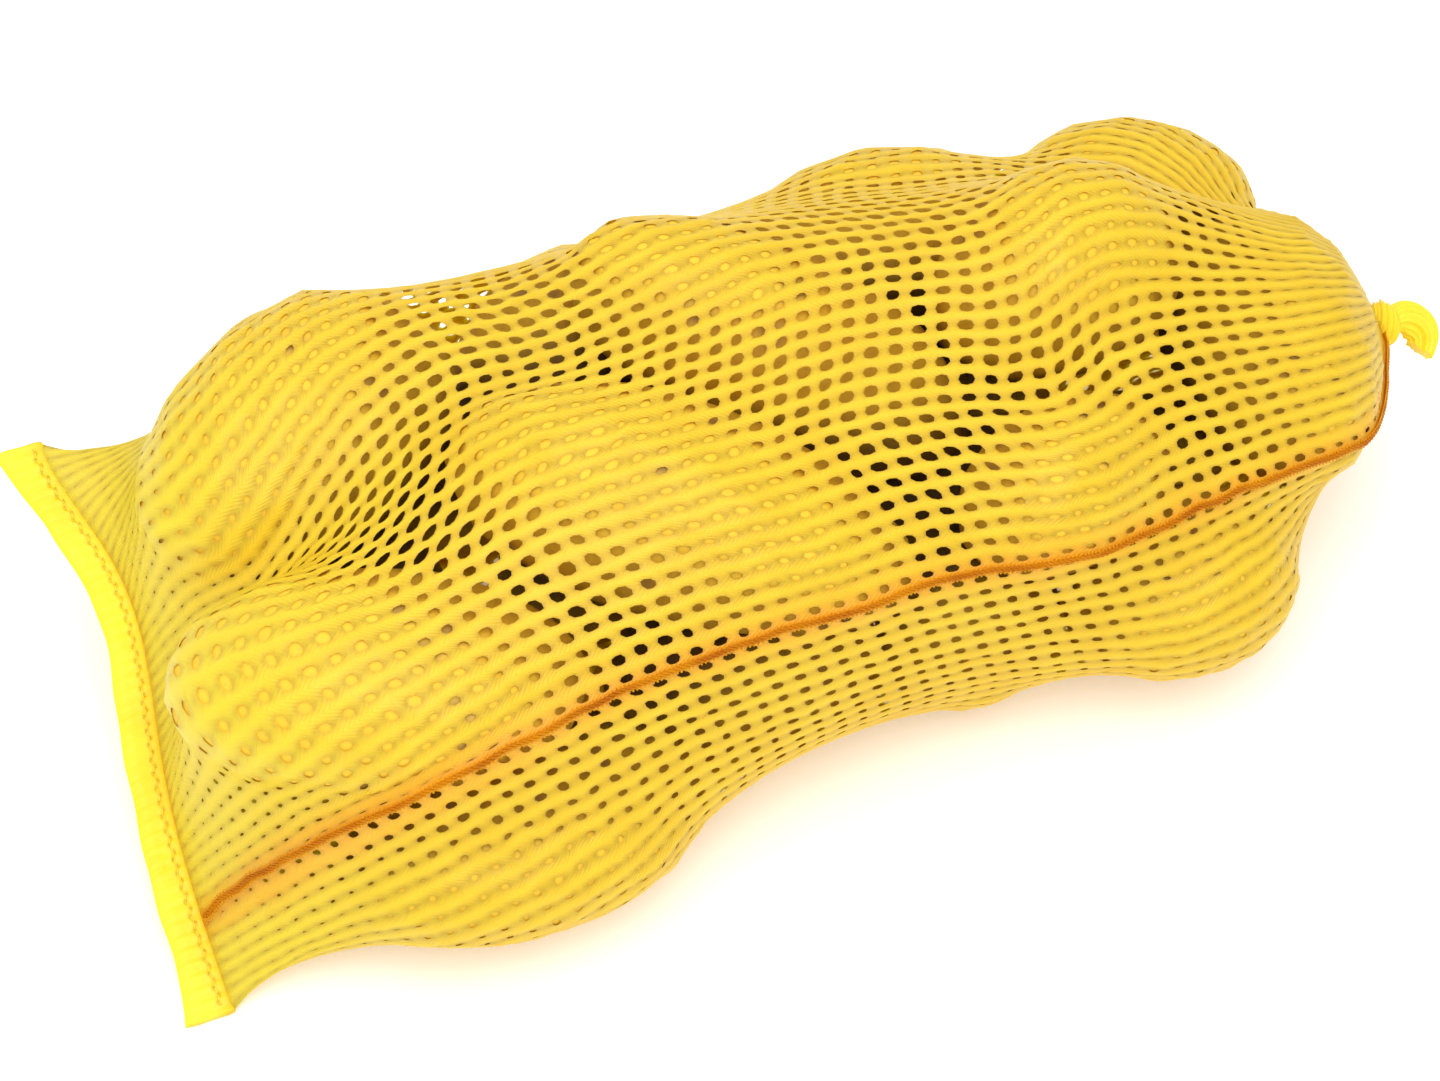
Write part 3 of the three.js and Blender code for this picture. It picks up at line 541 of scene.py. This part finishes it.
def knitted(name, crossings, random):
    """A closed skin over and under the yarn. Each stitch is a ring of eight points on its border and
    eight on its hole, an ellipse whose half axes are the stitch's less half of the yarn's width there,
    w (1 + s exp(-height / h)), and smaller still by the hem and underneath. On the border the skins
    stand apart by the yarn's thickness, and they meet in a crisp edge round the hole."""
    rows, columns = 2 * ROWS + 1, 2 * COLUMNS
    grid = doubled(crossings)
    normal = net_normals(grid)
    free = grid[1:-1].reshape(-1, 3)
    keep_outside(free, NET_CLEARANCE)
    grid[1:-1] = free.reshape(rows - 2, columns, 3)

    ring = np.array([(-1, -1), (-1, 0), (-1, 1), (0, 1), (1, 1), (1, 0), (1, -1), (0, -1)])
    row = 2 * np.arange(ROWS)[:, None, None] + 1 + ring[:, 0] + 0 * np.arange(COLUMNS)[:, None]
    turned = 2 * np.arange(COLUMNS)[:, None] + 1 + ring[:, 1] + 0 * row
    column = turned % columns
    border = grid[row, column]
    middle = grid[1::2, 1::2][:, :, None]
    reach = np.linalg.norm(border - middle, axis=-1)
    half_width, half_height = reach[..., [3, 7]].mean(-1), reach[..., [1, 5]].mean(-1)
    dense = np.clip((np.arange(ROWS) + 0.5) / DENSE_ROWS, 0, 1)[:, None]
    slack = random.uniform(1 - HOLE_VARIATION, 1 + HOLE_VARIATION, half_width.shape)
    slack *= DENSE_HOLE + (1 - DENSE_HOLE) * dense
    turned_under = 2 * np.pi * (np.arange(COLUMNS) + 0.5 - STRETCH_COLUMN) / COLUMNS
    slack *= 1 - UNDERSIDE_CLOSING * ((1 - np.cos(turned_under)) / 2) ** 2
    height = height_over(middle.reshape(-1, 3)).reshape(half_width.shape)
    spread = 1 + PRESSED_WIDENING * np.exp(-np.maximum(height, 0) / PRESSED_HEIGHT)
    wide = np.clip(slack * (1 - spread * CHAIN_HALF_WIDTH / half_width), NARROWEST_HOLE, WIDEST_HOLE)
    high = np.clip(slack * (1 - spread * TAPE_HALF_WIDTH / half_height), NARROWEST_HOLE, WIDEST_HOLE)
    corner = CORNER_FULLNESS / np.sqrt(wide ** -2 + high ** -2)
    share = np.stack([corner, high, corner, wide, corner, high, corner, wide], -1)[..., None]
    hole = (middle + share * (border - middle)).reshape(-1, 3)
    keep_outside(hole, NET_CLEARANCE)

    rise = np.full((rows, columns), CROSSING_RISE)
    rise[1::2] = CHAIN_RISE
    rise[::2, 1::2] = TAPE_RISE
    flat = DENSE_FLATNESS * np.clip(1 - np.arange(rows)[:, None] / (2 * DENSE_ROWS), 0, 1)
    varied = random.uniform(1 - YARN_VARIATION, 1 + YARN_VARIATION, rise.shape)
    rise = (rise * (1 - flat) * varied)[..., None]
    kept = np.ones((rows, columns), bool)
    kept[1::2, 1::2] = False
    number = np.cumsum(kept).reshape(kept.shape) - 1
    count = kept.sum()
    over, under = (grid + normal * rise)[kept], (grid - normal * rise)[kept]
    over[:, 2] = np.maximum(over[:, 2], NET_FLOOR / 4)
    under[:, 2] = np.maximum(under[:, 2], NET_FLOOR / 4)

    here = number[row, column]
    edge = 2 * count + np.arange(len(hole)).reshape(here.shape)
    ahead, edge_ahead = np.roll(here, -1, axis=-1), np.roll(edge, -1, axis=-1)
    quads = [np.stack([here, edge, edge_ahead, ahead], -1).reshape(-1, 4),
             np.stack([here, ahead, edge_ahead, edge], -1).reshape(-1, 4)]
    quads[1][:, :2] += count
    border_place = np.stack([turned, row], -1) / 2
    middle_place = np.stack([turned - ring[:, 1], row - ring[:, 0]], -1) / 2
    hole_place = middle_place + share * (border_place - middle_place)
    ahead_place, hole_ahead = np.roll(border_place, -1, axis=2), np.roll(hole_place, -1, axis=2)
    places = [np.stack([border_place, hole_place, hole_ahead, ahead_place], 3).reshape(-1, 4, 2),
              np.stack([border_place, ahead_place, hole_ahead, hole_place], 3).reshape(-1, 4, 2)]
    for line, order in ((0, 1), (rows - 1, -1)):
        first = number[line]
        second = np.roll(first, -1)
        quads.append(np.stack([first, second, second + count, first + count][::order], -1))
        start = np.arange(columns) / 2
        spots = [np.stack([start + step, np.full(columns, line / 2)], -1) for step in (0, 0.5, 0.5, 0)]
        places.append(np.stack(spots[::order], 1))
    piece = add_surface(name, np.concatenate([over, under, hole]), np.concatenate(quads),
                        np.empty((0, 3), int), np.concatenate(places).reshape(-1, 2))

    edges = np.empty(2 * len(piece.data.edges), np.int32)
    piece.data.edges.foreach_get("vertices", edges)
    creased = (edges.reshape(-1, 2) >= 2 * count).all(axis=1)
    piece.data.attributes.new("sharp_edge", "BOOLEAN", "EDGE").data.foreach_set("value", creased)

    # Painted glow: the seam thread's orange, spread onto the net on each side of the seam.
    step = (np.arange(columns) / 2 - SEAM_COLUMN + COLUMNS / 2) % COLUMNS - COLUMNS / 2
    spacing = np.linalg.norm(grid[:, 2 * SEAM_COLUMN + 2] - grid[:, 2 * SEAM_COLUMN], axis=-1)
    painted_seam_glow = np.exp(-(step * spacing[:, None] / SEAM_GLOW_WIDTH) ** 2)
    # Near the hem the net is painted a paler lemon: partly the dense net's own tone, partly painted glow
    # that lifts the shade in its nearly shut holes.
    from_hem = grid[..., 0] - grid[:1, :, 0]
    hem_tone_and_glow = np.exp(-np.maximum(from_hem, 0) / HEM_GLOW_LENGTH)
    for attribute, values in (("painted_seam_glow", painted_seam_glow), ("hem_tone_and_glow", hem_tone_and_glow)):
        on_holes = values[row, column].reshape(-1)
        values = np.concatenate([values[kept], values[kept], on_holes])
        data = piece.data.attributes.new(attribute, "FLOAT", "POINT").data
        data.foreach_set("value", values.astype(np.float32))
    return piece


def knit_relief():
    """A group that puts out a height, the loops' chevrons along each chain and fine drawn lines along
    the yarn, and a mask for painted shade that is highest halfway between two chains, where the tape
    lies lower. It is read in the map, with one unit to a stitch."""
    group = bpy.data.node_groups.new("knit_relief", "ShaderNodeTree")
    group.interface.new_socket("Loops", in_out="INPUT", socket_type="NodeSocketFloat")
    group.interface.new_socket("Height", in_out="OUTPUT", socket_type="NodeSocketFloat")
    group.interface.new_socket("Painted Shade Between Chains", in_out="OUTPUT", socket_type="NodeSocketFloat")
    nodes, links = group.nodes, group.links
    given, result = nodes.new("NodeGroupInput"), nodes.new("NodeGroupOutput")
    place = nodes.new("ShaderNodeTexCoord")
    apart = nodes.new("ShaderNodeSeparateXYZ")
    links.new(place.outputs["UV"], apart.inputs["Vector"])
    from_chain = nodes.new("ShaderNodeMath")
    from_chain.operation = "PINGPONG"
    from_chain.inputs[1].default_value = 0.5
    links.new(apart.outputs["X"], from_chain.inputs[0])
    slant = nodes.new("ShaderNodeMath")
    slant.operation = "MULTIPLY_ADD"
    slant.inputs[1].default_value = -1.4
    links.new(from_chain.outputs["Value"], slant.inputs[0])
    links.new(apart.outputs["Y"], slant.inputs[2])
    turns = nodes.new("ShaderNodeMath")
    turns.operation = "MULTIPLY"
    links.new(slant.outputs["Value"], turns.inputs[0])
    links.new(given.outputs["Loops"], turns.inputs[1])
    loops = nodes.new("ShaderNodeMath")
    loops.operation = "SINE"
    links.new(turns.outputs["Value"], loops.inputs[0])
    stretch = nodes.new("ShaderNodeMapping")
    stretch.inputs["Scale"].default_value = (26, 3, 1)
    links.new(place.outputs["UV"], stretch.inputs["Vector"])
    lines = nodes.new("ShaderNodeTexNoise")
    lines.inputs["Scale"].default_value = 1.0
    lines.inputs["Detail"].default_value = 2
    links.new(stretch.outputs["Vector"], lines.inputs["Vector"])
    height = nodes.new("ShaderNodeMath")
    height.operation = "MULTIPLY_ADD"
    height.inputs[1].default_value = 0.35
    links.new(loops.outputs["Value"], height.inputs[0])
    links.new(lines.outputs["Fac"], height.inputs[2])
    links.new(height.outputs["Value"], result.inputs["Height"])
    between = nodes.new("ShaderNodeMapRange")
    between.inputs["From Min"].default_value = 0.1
    between.inputs["From Max"].default_value = 0.4
    between.inputs["To Max"].default_value = 0.75
    links.new(from_chain.outputs["Value"], between.inputs["Value"])
    links.new(between.outputs["Result"], result.inputs["Painted Shade Between Chains"])
    return group


def mixed(nodes, links, first, second, factor):
    """A colour between two, each a colour or a socket, by a factor's socket."""
    mix = nodes.new("ShaderNodeMix")
    mix.data_type = "RGBA"
    for name, value in (("A", first), ("B", second)):
        if isinstance(value, tuple):
            mix.inputs[name].default_value = value
        else:
            links.new(value, mix.inputs[name])
    links.new(factor, mix.inputs["Factor"])
    return mix.outputs["Result"]


def net_yarn(name, yellow, shade, loops, between=None, tints=()):
    """Satin, slightly translucent plastic yarn, paler in patches, with painted shade on the lower tape
    between the chains, and tints, painted glow and shade among them, where the piece's attributes say so."""
    material = bpy.data.materials.new(name)
    material.use_nodes = True
    nodes, links = material.node_tree.nodes, material.node_tree.links
    shader = nodes["Principled BSDF"]
    shader.inputs["Roughness"].default_value = 0.42
    shader.inputs["Specular IOR Level"].default_value = 0.35
    shader.inputs["Subsurface Weight"].default_value = 0.45
    shader.inputs["Subsurface Scale"].default_value = 0.003
    shader.inputs["Subsurface Radius"].default_value = (1.0, 0.8, 0.15)
    place = nodes.new("ShaderNodeTexCoord")
    patch = nodes.new("ShaderNodeTexNoise")
    patch.inputs["Scale"].default_value = 60
    patch.inputs["Detail"].default_value = 4
    links.new(place.outputs["Object"], patch.inputs["Vector"])
    contrast = nodes.new("ShaderNodeMapRange")
    contrast.inputs["From Min"].default_value = 0.35
    contrast.inputs["From Max"].default_value = 0.65
    links.new(patch.outputs["Fac"], contrast.inputs["Value"])
    colour = mixed(nodes, links, shade, yellow, contrast.outputs["Result"])
    relief = nodes.new("ShaderNodeGroup")
    relief.node_tree = knit_height
    relief.inputs["Loops"].default_value = loops
    if between:
        # Painted shade: the tape between the chains, which lies lower, is darkened.
        colour = mixed(nodes, links, colour, between, relief.outputs["Painted Shade Between Chains"])
    for attribute, tint in tints:
        mark = nodes.new("ShaderNodeAttribute")
        mark.attribute_name = attribute
        colour = mixed(nodes, links, colour, tint, mark.outputs["Fac"])
    links.new(colour, shader.inputs["Base Color"])
    bump = nodes.new("ShaderNodeBump")
    bump.inputs["Strength"].default_value = 0.5
    bump.inputs["Distance"].default_value = 0.00018
    links.new(relief.outputs["Height"], bump.inputs["Height"])
    links.new(bump.outputs["Normal"], shader.inputs["Normal"])
    return material


knit_height = knit_relief()
yarn = net_yarn("net_yarn", YARN_YELLOW, YARN_SHADE, loops=25, between=TAPE_PAINTED_SHADE,
                tints=(("hem_tone_and_glow", HEM_LEMON_AND_GLOW), ("painted_seam_glow", SEAM_PAINTED_GLOW)))
random = np.random.default_rng(7)
net = evened(tight_net())
normals = net_normals(net)
around = np.roll(net, -1, axis=1) - np.roll(net, 1, axis=1)
around /= np.linalg.norm(around, axis=-1, keepdims=True) + 1e-12
along = np.cross(around, normals)
spacing = np.linalg.norm(np.roll(net, -1, axis=1) - net, axis=-1)
fullness = np.clip(spacing / FULL_SPACING, 0.05, 1)
jitter = np.clip(random.normal(0, 1, (2, ROWS + 1, COLUMNS)), -2.5, 2.5) * STITCH_JITTER * fullness
crossings = net + jitter[0][..., None] * around + jitter[1][..., None] * along
crossings[0], crossings[-1] = net[0], net[-1]
mesh_net = knitted("knitted_net", crossings, random)
mesh_net.data.materials.append(yarn)
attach(mesh_net, "root")
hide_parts("net_body")

# Where the net presses on a potato the skin swells a little into its meshes, and the yarn sinks up to
# 0.4 mm into the skin. The skin in the hollows between the potatoes is painted dark, as painted
# shade: none within one depth of the net, and all of it beyond another.
PRESSED_DEPTH = 0.010
PRESSED_SWELL = 0.00012
HOLLOW_SHADE_STARTS = 0.018
HOLLOW_SHADE_FULL = 0.032
HOLLOW_SHADE_STRENGTH = 0.9

bearing = crossings[::2, ::2].reshape(-1, 3)
for name in potato_names:
    skin_mesh = bpy.data.objects[name.replace("potato_", "tuber_")].data
    points = np.empty(3 * len(skin_mesh.vertices))
    skin_mesh.vertices.foreach_get("co", points)
    points = points.reshape(-1, 3)
    squares = np.sum(points ** 2, 1)[:, None] + np.sum(bearing ** 2, 1) - 2 * points @ bearing.T
    depth = np.sqrt(np.maximum(squares.min(axis=1), 0))
    outward = points - potato_solids[name]["middle"]
    outward /= np.linalg.norm(outward, axis=1, keepdims=True)
    swell = PRESSED_SWELL * np.clip(3 * (1 - depth / PRESSED_DEPTH), 0, 1)
    skin_mesh.vertices.foreach_set("co", (points + swell[:, None] * outward).astype(np.float32).ravel())
    # Painted shade: the further the skin lies from the net's crossings, the darker it is painted.
    hollow_shade = HOLLOW_SHADE_STRENGTH * np.clip((depth - HOLLOW_SHADE_STARTS) / (HOLLOW_SHADE_FULL - HOLLOW_SHADE_STARTS), 0, 1)
    skin_mesh.attributes.new("hollow_shade", "FLOAT", "POINT").data.foreach_set("value", hollow_shade.astype(np.float32))

# The hem: the tube's end folded over twice and stitched, so the net lies four layers thick in a
# soft band with a pointed ear at each side, and a line of chain stitches along it.
HEM_BAND = 0.011
EAR_FLARE = 0.25
HEM_STATIONS = 300
HEM_SIDES = 40
HEM_RIB = 0.00022
HEM_RIPPLE = 0.0007
HEM_OVERLAP = 0.0008     # the band laps the net's first row
HEM_YELLOW = (1.0, 0.75, 0.03, 1)
HEM_SHADE = (1.0, 0.69, 0.022, 1)
# Painted shade: the band darkens to amber along its fold, where it meets the net.
HEM_FOLD_SHADE = (0.95, 0.50, 0.006, 1)
STITCH_INSET = 0.0026
STITCH_RISE = 0.0012
STITCH_RADIUS = 0.00026
STITCH_LENGTH = 0.0042
STITCH_SWING = 0.0007
STITCH_DIP = 0.0003
STITCH_MARGIN = 0.012    # share of the hem without stitches, at each ear
STITCH_POINTS = 400
FOLD_SHADE_SHARE = 0.85       # how amber the band is where it meets the net


def hem_edges(share):
    """The band's width and its slow waves: sums of sines that fade at the ears."""
    width = HEM_BAND * (1 + EAR_FLARE * np.abs(2 * share - 1) ** 8)
    fade = np.clip(8 * share * (1 - share), 0, 1)
    wave = np.sin(2 * np.pi * 3.3 * share + 0.5) + 0.6 * np.sin(2 * np.pi * 7.9 * share + 2.1)
    lift = np.sin(2 * np.pi * 5.1 * share) + 0.5 * np.sin(2 * np.pi * 12.7 * share + 1)
    return width - HEM_RIPPLE * fade * (0.8 + 0.5 * wave), 0.45 * HEM_RIPPLE * fade * lift


def hem_band():
    """A flat oval section carried along the hem's line, wider at the ears, with a rib for each chain
    of the net and the edges' slow waves."""
    share = np.linspace(0, 1, HEM_STATIONS)[:, None]
    angle = (2 * np.pi * np.arange(HEM_SIDES) / HEM_SIDES)[None]
    width, lift = hem_edges(share)
    out = 0.5 + 0.5 * np.sign(np.cos(angle)) * np.abs(np.cos(angle)) ** 0.8
    up = np.sign(np.sin(angle)) * np.abs(np.sin(angle)) ** 0.6
    rib = HEM_RIB * np.cos(np.pi * COLUMNS * share) * (1 - 0.6 * out)
    plump = 0.72 + 0.28 * np.cos(1.5 * np.pi * (out - 0.75)) ** 2
    line = hem_line(share[:, 0])[:, None]
    x = line[..., 0] + HEM_OVERLAP - (width + HEM_OVERLAP) * out
    y = line[..., 1] + 0 * out
    z = line[..., 2] + up * (plump * (HEM_THICKNESS / 2 - 2 * HEM_RIB) + rib) + lift * out
    rings = np.stack([x, y, np.maximum(z, 0.0001)], -1)[None]
    return rings, rings[:, [0, -1]].mean(axis=2)


def carried_along(path, normal, count):
    """A path, its normals and its sideways directions at evenly spaced places."""
    length = np.concatenate([[0], np.cumsum(np.linalg.norm(np.diff(path, axis=0), axis=1))])
    even = np.linspace(0, length[-1], count)
    place = np.stack([np.interp(even, length, path[:, axis]) for axis in range(3)], -1)
    up = np.stack([np.interp(even, length, normal[:, axis]) for axis in range(3)], -1)
    ahead = np.gradient(place, axis=0)
    ahead /= np.linalg.norm(ahead, axis=1, keepdims=True)
    side = np.cross(up, ahead)
    side /= np.linalg.norm(side, axis=1, keepdims=True)
    return place, np.cross(ahead, side), side


def round_strands(name, paths, ups, radius, sides=6):
    """Round strands carried along paths, in the order strand, place: each ring lies in the plane of
    the up direction and of its cross product with the path."""
    along = np.gradient(paths, axis=1)
    side = np.cross(ups, along)
    side /= np.linalg.norm(side, axis=-1, keepdims=True)
    up = np.cross(along, side)
    up /= np.linalg.norm(up, axis=-1, keepdims=True)
    angle = 2 * np.pi * np.arange(sides)[:, None] / sides
    rings = paths[:, :, None] + radius * (np.cos(angle) * side[:, :, None] + np.sin(angle) * up[:, :, None])
    return add_tubes(name, rings, poles=paths[:, [0, -1]], ring_length=0.2)


def chain_stitches(path, normal, length, width, height):
    """One thread that loops along a line: sideways it swings as sin(turn), along as sin(2 turn)
    / 4 of a stitch, and it dips towards the band twice in every stitch."""
    total = np.linalg.norm(np.diff(path, axis=0), axis=1).sum()
    turns = int(total / length)
    place, up, side = carried_along(path, normal, 14 * turns)
    ahead = np.cross(side, up)
    turn = 2 * np.pi * turns * np.linspace(0, 1, len(place))[:, None]
    swing = width * np.sin(turn) * side + 0.25 * length * np.sin(2 * turn) * ahead
    return place + swing + height * (0.5 + 0.5 * np.cos(2 * turn)) * up, up


hem_yarn = net_yarn("hem_yarn", HEM_YELLOW, HEM_SHADE, loops=12, tints=(("painted_fold_shade", HEM_FOLD_SHADE),))
hem_rings, hem_poles = hem_band()
hem = add_tubes("hem_fold", hem_rings, poles=hem_poles, ring_length=COLUMNS / 2 / HEM_STATIONS)
hem.data.materials.append(hem_yarn)
# Painted fold shade, strongest on the band's inner edge.
from_edge = (1 - np.cos(2 * np.pi * np.arange(HEM_SIDES) / HEM_SIDES)) / 2
painted_fold_shade = np.append(np.tile(FOLD_SHADE_SHARE * from_edge ** 4, HEM_STATIONS), [0, 0])
hem.data.attributes.new("painted_fold_shade", "FLOAT", "POINT").data.foreach_set("value", painted_fold_shade.astype(np.float32))
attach(hem, "root")
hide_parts("bottom_hem")
hem_share = np.linspace(STITCH_MARGIN, 1 - STITCH_MARGIN, STITCH_POINTS)
hem_stitch_line = hem_line(hem_share) + [-STITCH_INSET, 0, STITCH_RISE]
hem_stitch_path, hem_stitch_up = chain_stitches(
    hem_stitch_line, np.tile([0, 0, 1.0], (STITCH_POINTS, 1)), STITCH_LENGTH, STITCH_SWING, STITCH_DIP)
hem_stitches = round_strands("hem_stitches", hem_stitch_path[None], hem_stitch_up[None], STITCH_RADIUS)
hem_stitches.data.materials.append(hem_yarn)
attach(hem_stitches, "root")

# The side seam: an orange overlock sewn along the net beside the near fold, from the hem to the
# neck. A twisted needle thread runs down its middle, and a looper thread swings from side to side.
SEAM_TURN_LENGTH = 0.0048
SEAM_PLIES = 3
SEAM_FLATNESS = 1.6      # the plies spread sideways more than they rise
SEAM_PLY_RADIUS = 0.00036
SEAM_PLY_OFFSET = 0.00027
SEAM_STEPS = 12
SEAM_RISE = 0.0009
LOOPER_LENGTH = 0.0012
LOOPER_WIDTH = 0.0014
LOOPER_RADIUS = 0.0002
LOOPER_RISE = 0.0006
LOOPER_DIP = 0.0002
SEAM_ORANGE = (0.72, 0.23, 0.0, 1)
SEAM_SHADE = (0.50, 0.13, 0.0, 1)
SEAM_GLOSS = 0.12
LOOPER_ORANGE = (0.95, 0.36, 0.004, 1)
LOOPER_SHADE = (0.88, 0.28, 0.003, 1)

seam_grid = doubled(crossings)
seam_path = seam_grid[1:, 2 * SEAM_COLUMN]
seam_normal = net_normals(seam_grid)[1:, 2 * SEAM_COLUMN]


def twisted_thread(path, normal):
    """Plies wound round a line that lies on the net: each ply's middle turns about the line once in
    every turn's length."""
    length = np.linalg.norm(np.diff(path, axis=0), axis=1).sum()
    turns = length / SEAM_TURN_LENGTH
    place, up, side = carried_along(path, normal, int(turns * SEAM_STEPS))
    angle = 2 * np.pi * turns * np.linspace(0, 1, len(place))[:, None]
    plies = []
    for start in 2 * np.pi * np.arange(SEAM_PLIES) / SEAM_PLIES:
        turned = SEAM_FLATNESS * np.cos(angle + start) * side + np.sin(angle + start) * up
        plies.append(place + SEAM_RISE * up + SEAM_PLY_OFFSET * turned)
    return np.stack(plies), np.stack([up] * SEAM_PLIES)


thread = net_yarn("seam_thread", SEAM_ORANGE, SEAM_SHADE, loops=40)
looper = net_yarn("looper_thread", LOOPER_ORANGE, LOOPER_SHADE, loops=40)
for spun in (thread, looper):
    spun.node_tree.nodes["Principled BSDF"].inputs["Specular IOR Level"].default_value = SEAM_GLOSS
seam = round_strands("side_stitching", *twisted_thread(seam_path, seam_normal), SEAM_PLY_RADIUS)
seam.data.materials.append(thread)
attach(seam, "root")
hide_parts("side_seam")
looper_path, looper_up = chain_stitches(seam_path, seam_normal, LOOPER_LENGTH, LOOPER_WIDTH, LOOPER_DIP)
looper_path = looper_path + LOOPER_RISE * looper_up
loopers = round_strands("seam_loopers", looper_path[None], looper_up[None], LOOPER_RADIUS)
loopers.data.materials.append(looper)
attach(loopers, "root")

# The mouth: the net gathered into a neck, turned on itself in a tight knot, with a short free end
# that folds forward and curls down.
KNOT_ENDS = 0.0052
KNOT_SWELL = 0.0024
KNOT_TWIST = math.radians(150)
KNOT_PLEAT_DEPTH = 0.10
KNOT_PLEAT_SWELL = 0.05
MOUTH_PLEATS = 15
MOUTH_SIDES = 180
MOUTH_RINGS = 48
TUFT_LENGTH = 0.0165
TUFT_WIDTH = 0.0132
TUFT_THICKNESS = 0.0086
TUFT_CURL = math.radians(150)
TUFT_STRAIGHT = 0.06     # share of the free end before it starts to curl
TUFT_GAP = 0.0003
TUFT_TWIST = 0.6
TUFT_PLEAT_DEPTH = 0.14
TUFT_PLEAT_GROWTH = 0.2
CURL_FORWARD = 0.8
CURL_DOWN = 0.6


def pleated_rings(path, across, up, width, height, twist, depth):
    """Rings carried along a path. The outline of each waves once for each pleat, with slower waves
    that make some pleats deeper, and the waves turn with the twist: 1 - d + d (0.55 ridge +
    0.25 cos(7 a) + 0.2 cos(4 a)), where the ridge is 1 - |sin(p a / 2)|^3."""
    angle = 2 * np.pi * np.arange(MOUTH_SIDES) / MOUTH_SIDES
    turned = angle[None] + twist[:, None]
    ridge = 1 - np.abs(np.sin(MOUTH_PLEATS * turned / 2)) ** 3
    wave = 0.55 * ridge + 0.25 * np.cos(7 * turned + 0.7) + 0.2 * np.cos(4 * turned + 2)
    outline = 1 + depth[:, None] * (wave - 1)
    rings = path[:, None] + across[:, None] * (0.5 * width[:, None] * outline * np.cos(angle))[..., None]
    return rings + up[:, None] * (0.5 * height[:, None] * outline * np.sin(angle))[..., None]


share = np.linspace(0, 1, MOUTH_RINGS)
knot_middle = (knot_low + knot_high) / 2
knot_path = np.stack([knot_low[0] + (knot_high[0] - knot_low[0]) * share,
                      np.full(MOUTH_RINGS, knot_middle[1]), np.full(MOUTH_RINGS, knot_middle[2])], -1)
knot_width = 2 * (KNOT_ENDS + KNOT_SWELL * np.sin(np.pi * share) ** 0.8)
level = np.tile([0, 1.0, 0], (MOUTH_RINGS, 1))
upright = np.tile([0, 0, 1.0], (MOUTH_RINGS, 1))
knot_rings = pleated_rings(knot_path, level, upright, knot_width, knot_width, KNOT_TWIST * share,
                           KNOT_PLEAT_DEPTH + KNOT_PLEAT_SWELL * np.sin(np.pi * share))
knot = add_tubes("gathered_knot", knot_rings[None], poles=knot_path[None, [0, -1]], ring_length=0.3)
knot.data.materials.append(hem_yarn)
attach(knot, "root")
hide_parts("mouth_knot")

tuft_low = np.array(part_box("mouth_tuft")[0])
bend = TUFT_CURL * np.maximum(share - TUFT_STRAIGHT, 0)[:, None]
towards = np.array([0, -CURL_FORWARD, -CURL_DOWN])
tuft_along = np.cos(bend) * [1.0, 0, 0] + np.sin(bend) * towards
tuft_across = np.sin(bend) * [1.0, 0, 0] - np.cos(bend) * towards
tuft_path = np.array([tuft_low[0] + TUFT_GAP, knot_middle[1], knot_middle[2]]) + np.concatenate(
    [np.zeros((1, 3)), np.cumsum(tuft_along[1:], axis=0)]) * TUFT_LENGTH / (MOUTH_RINGS - 1)
tuft_spread = 0.45 + 0.55 * np.sin(0.75 * np.pi * np.minimum(share + 0.15, 1))
tuft_rings = pleated_rings(tuft_path, tuft_across, np.cross(tuft_along, tuft_across),
                           TUFT_WIDTH * tuft_spread, TUFT_THICKNESS * (0.7 + 0.3 * tuft_spread),
                           KNOT_TWIST + TUFT_TWIST * share, TUFT_PLEAT_DEPTH + TUFT_PLEAT_GROWTH * share)
tuft = add_tubes("free_end", tuft_rings[None], poles=tuft_path[None, [0, -1]], ring_length=0.3)
tuft.data.materials.append(hem_yarn)
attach(tuft, "root")
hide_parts("mouth_tuft")
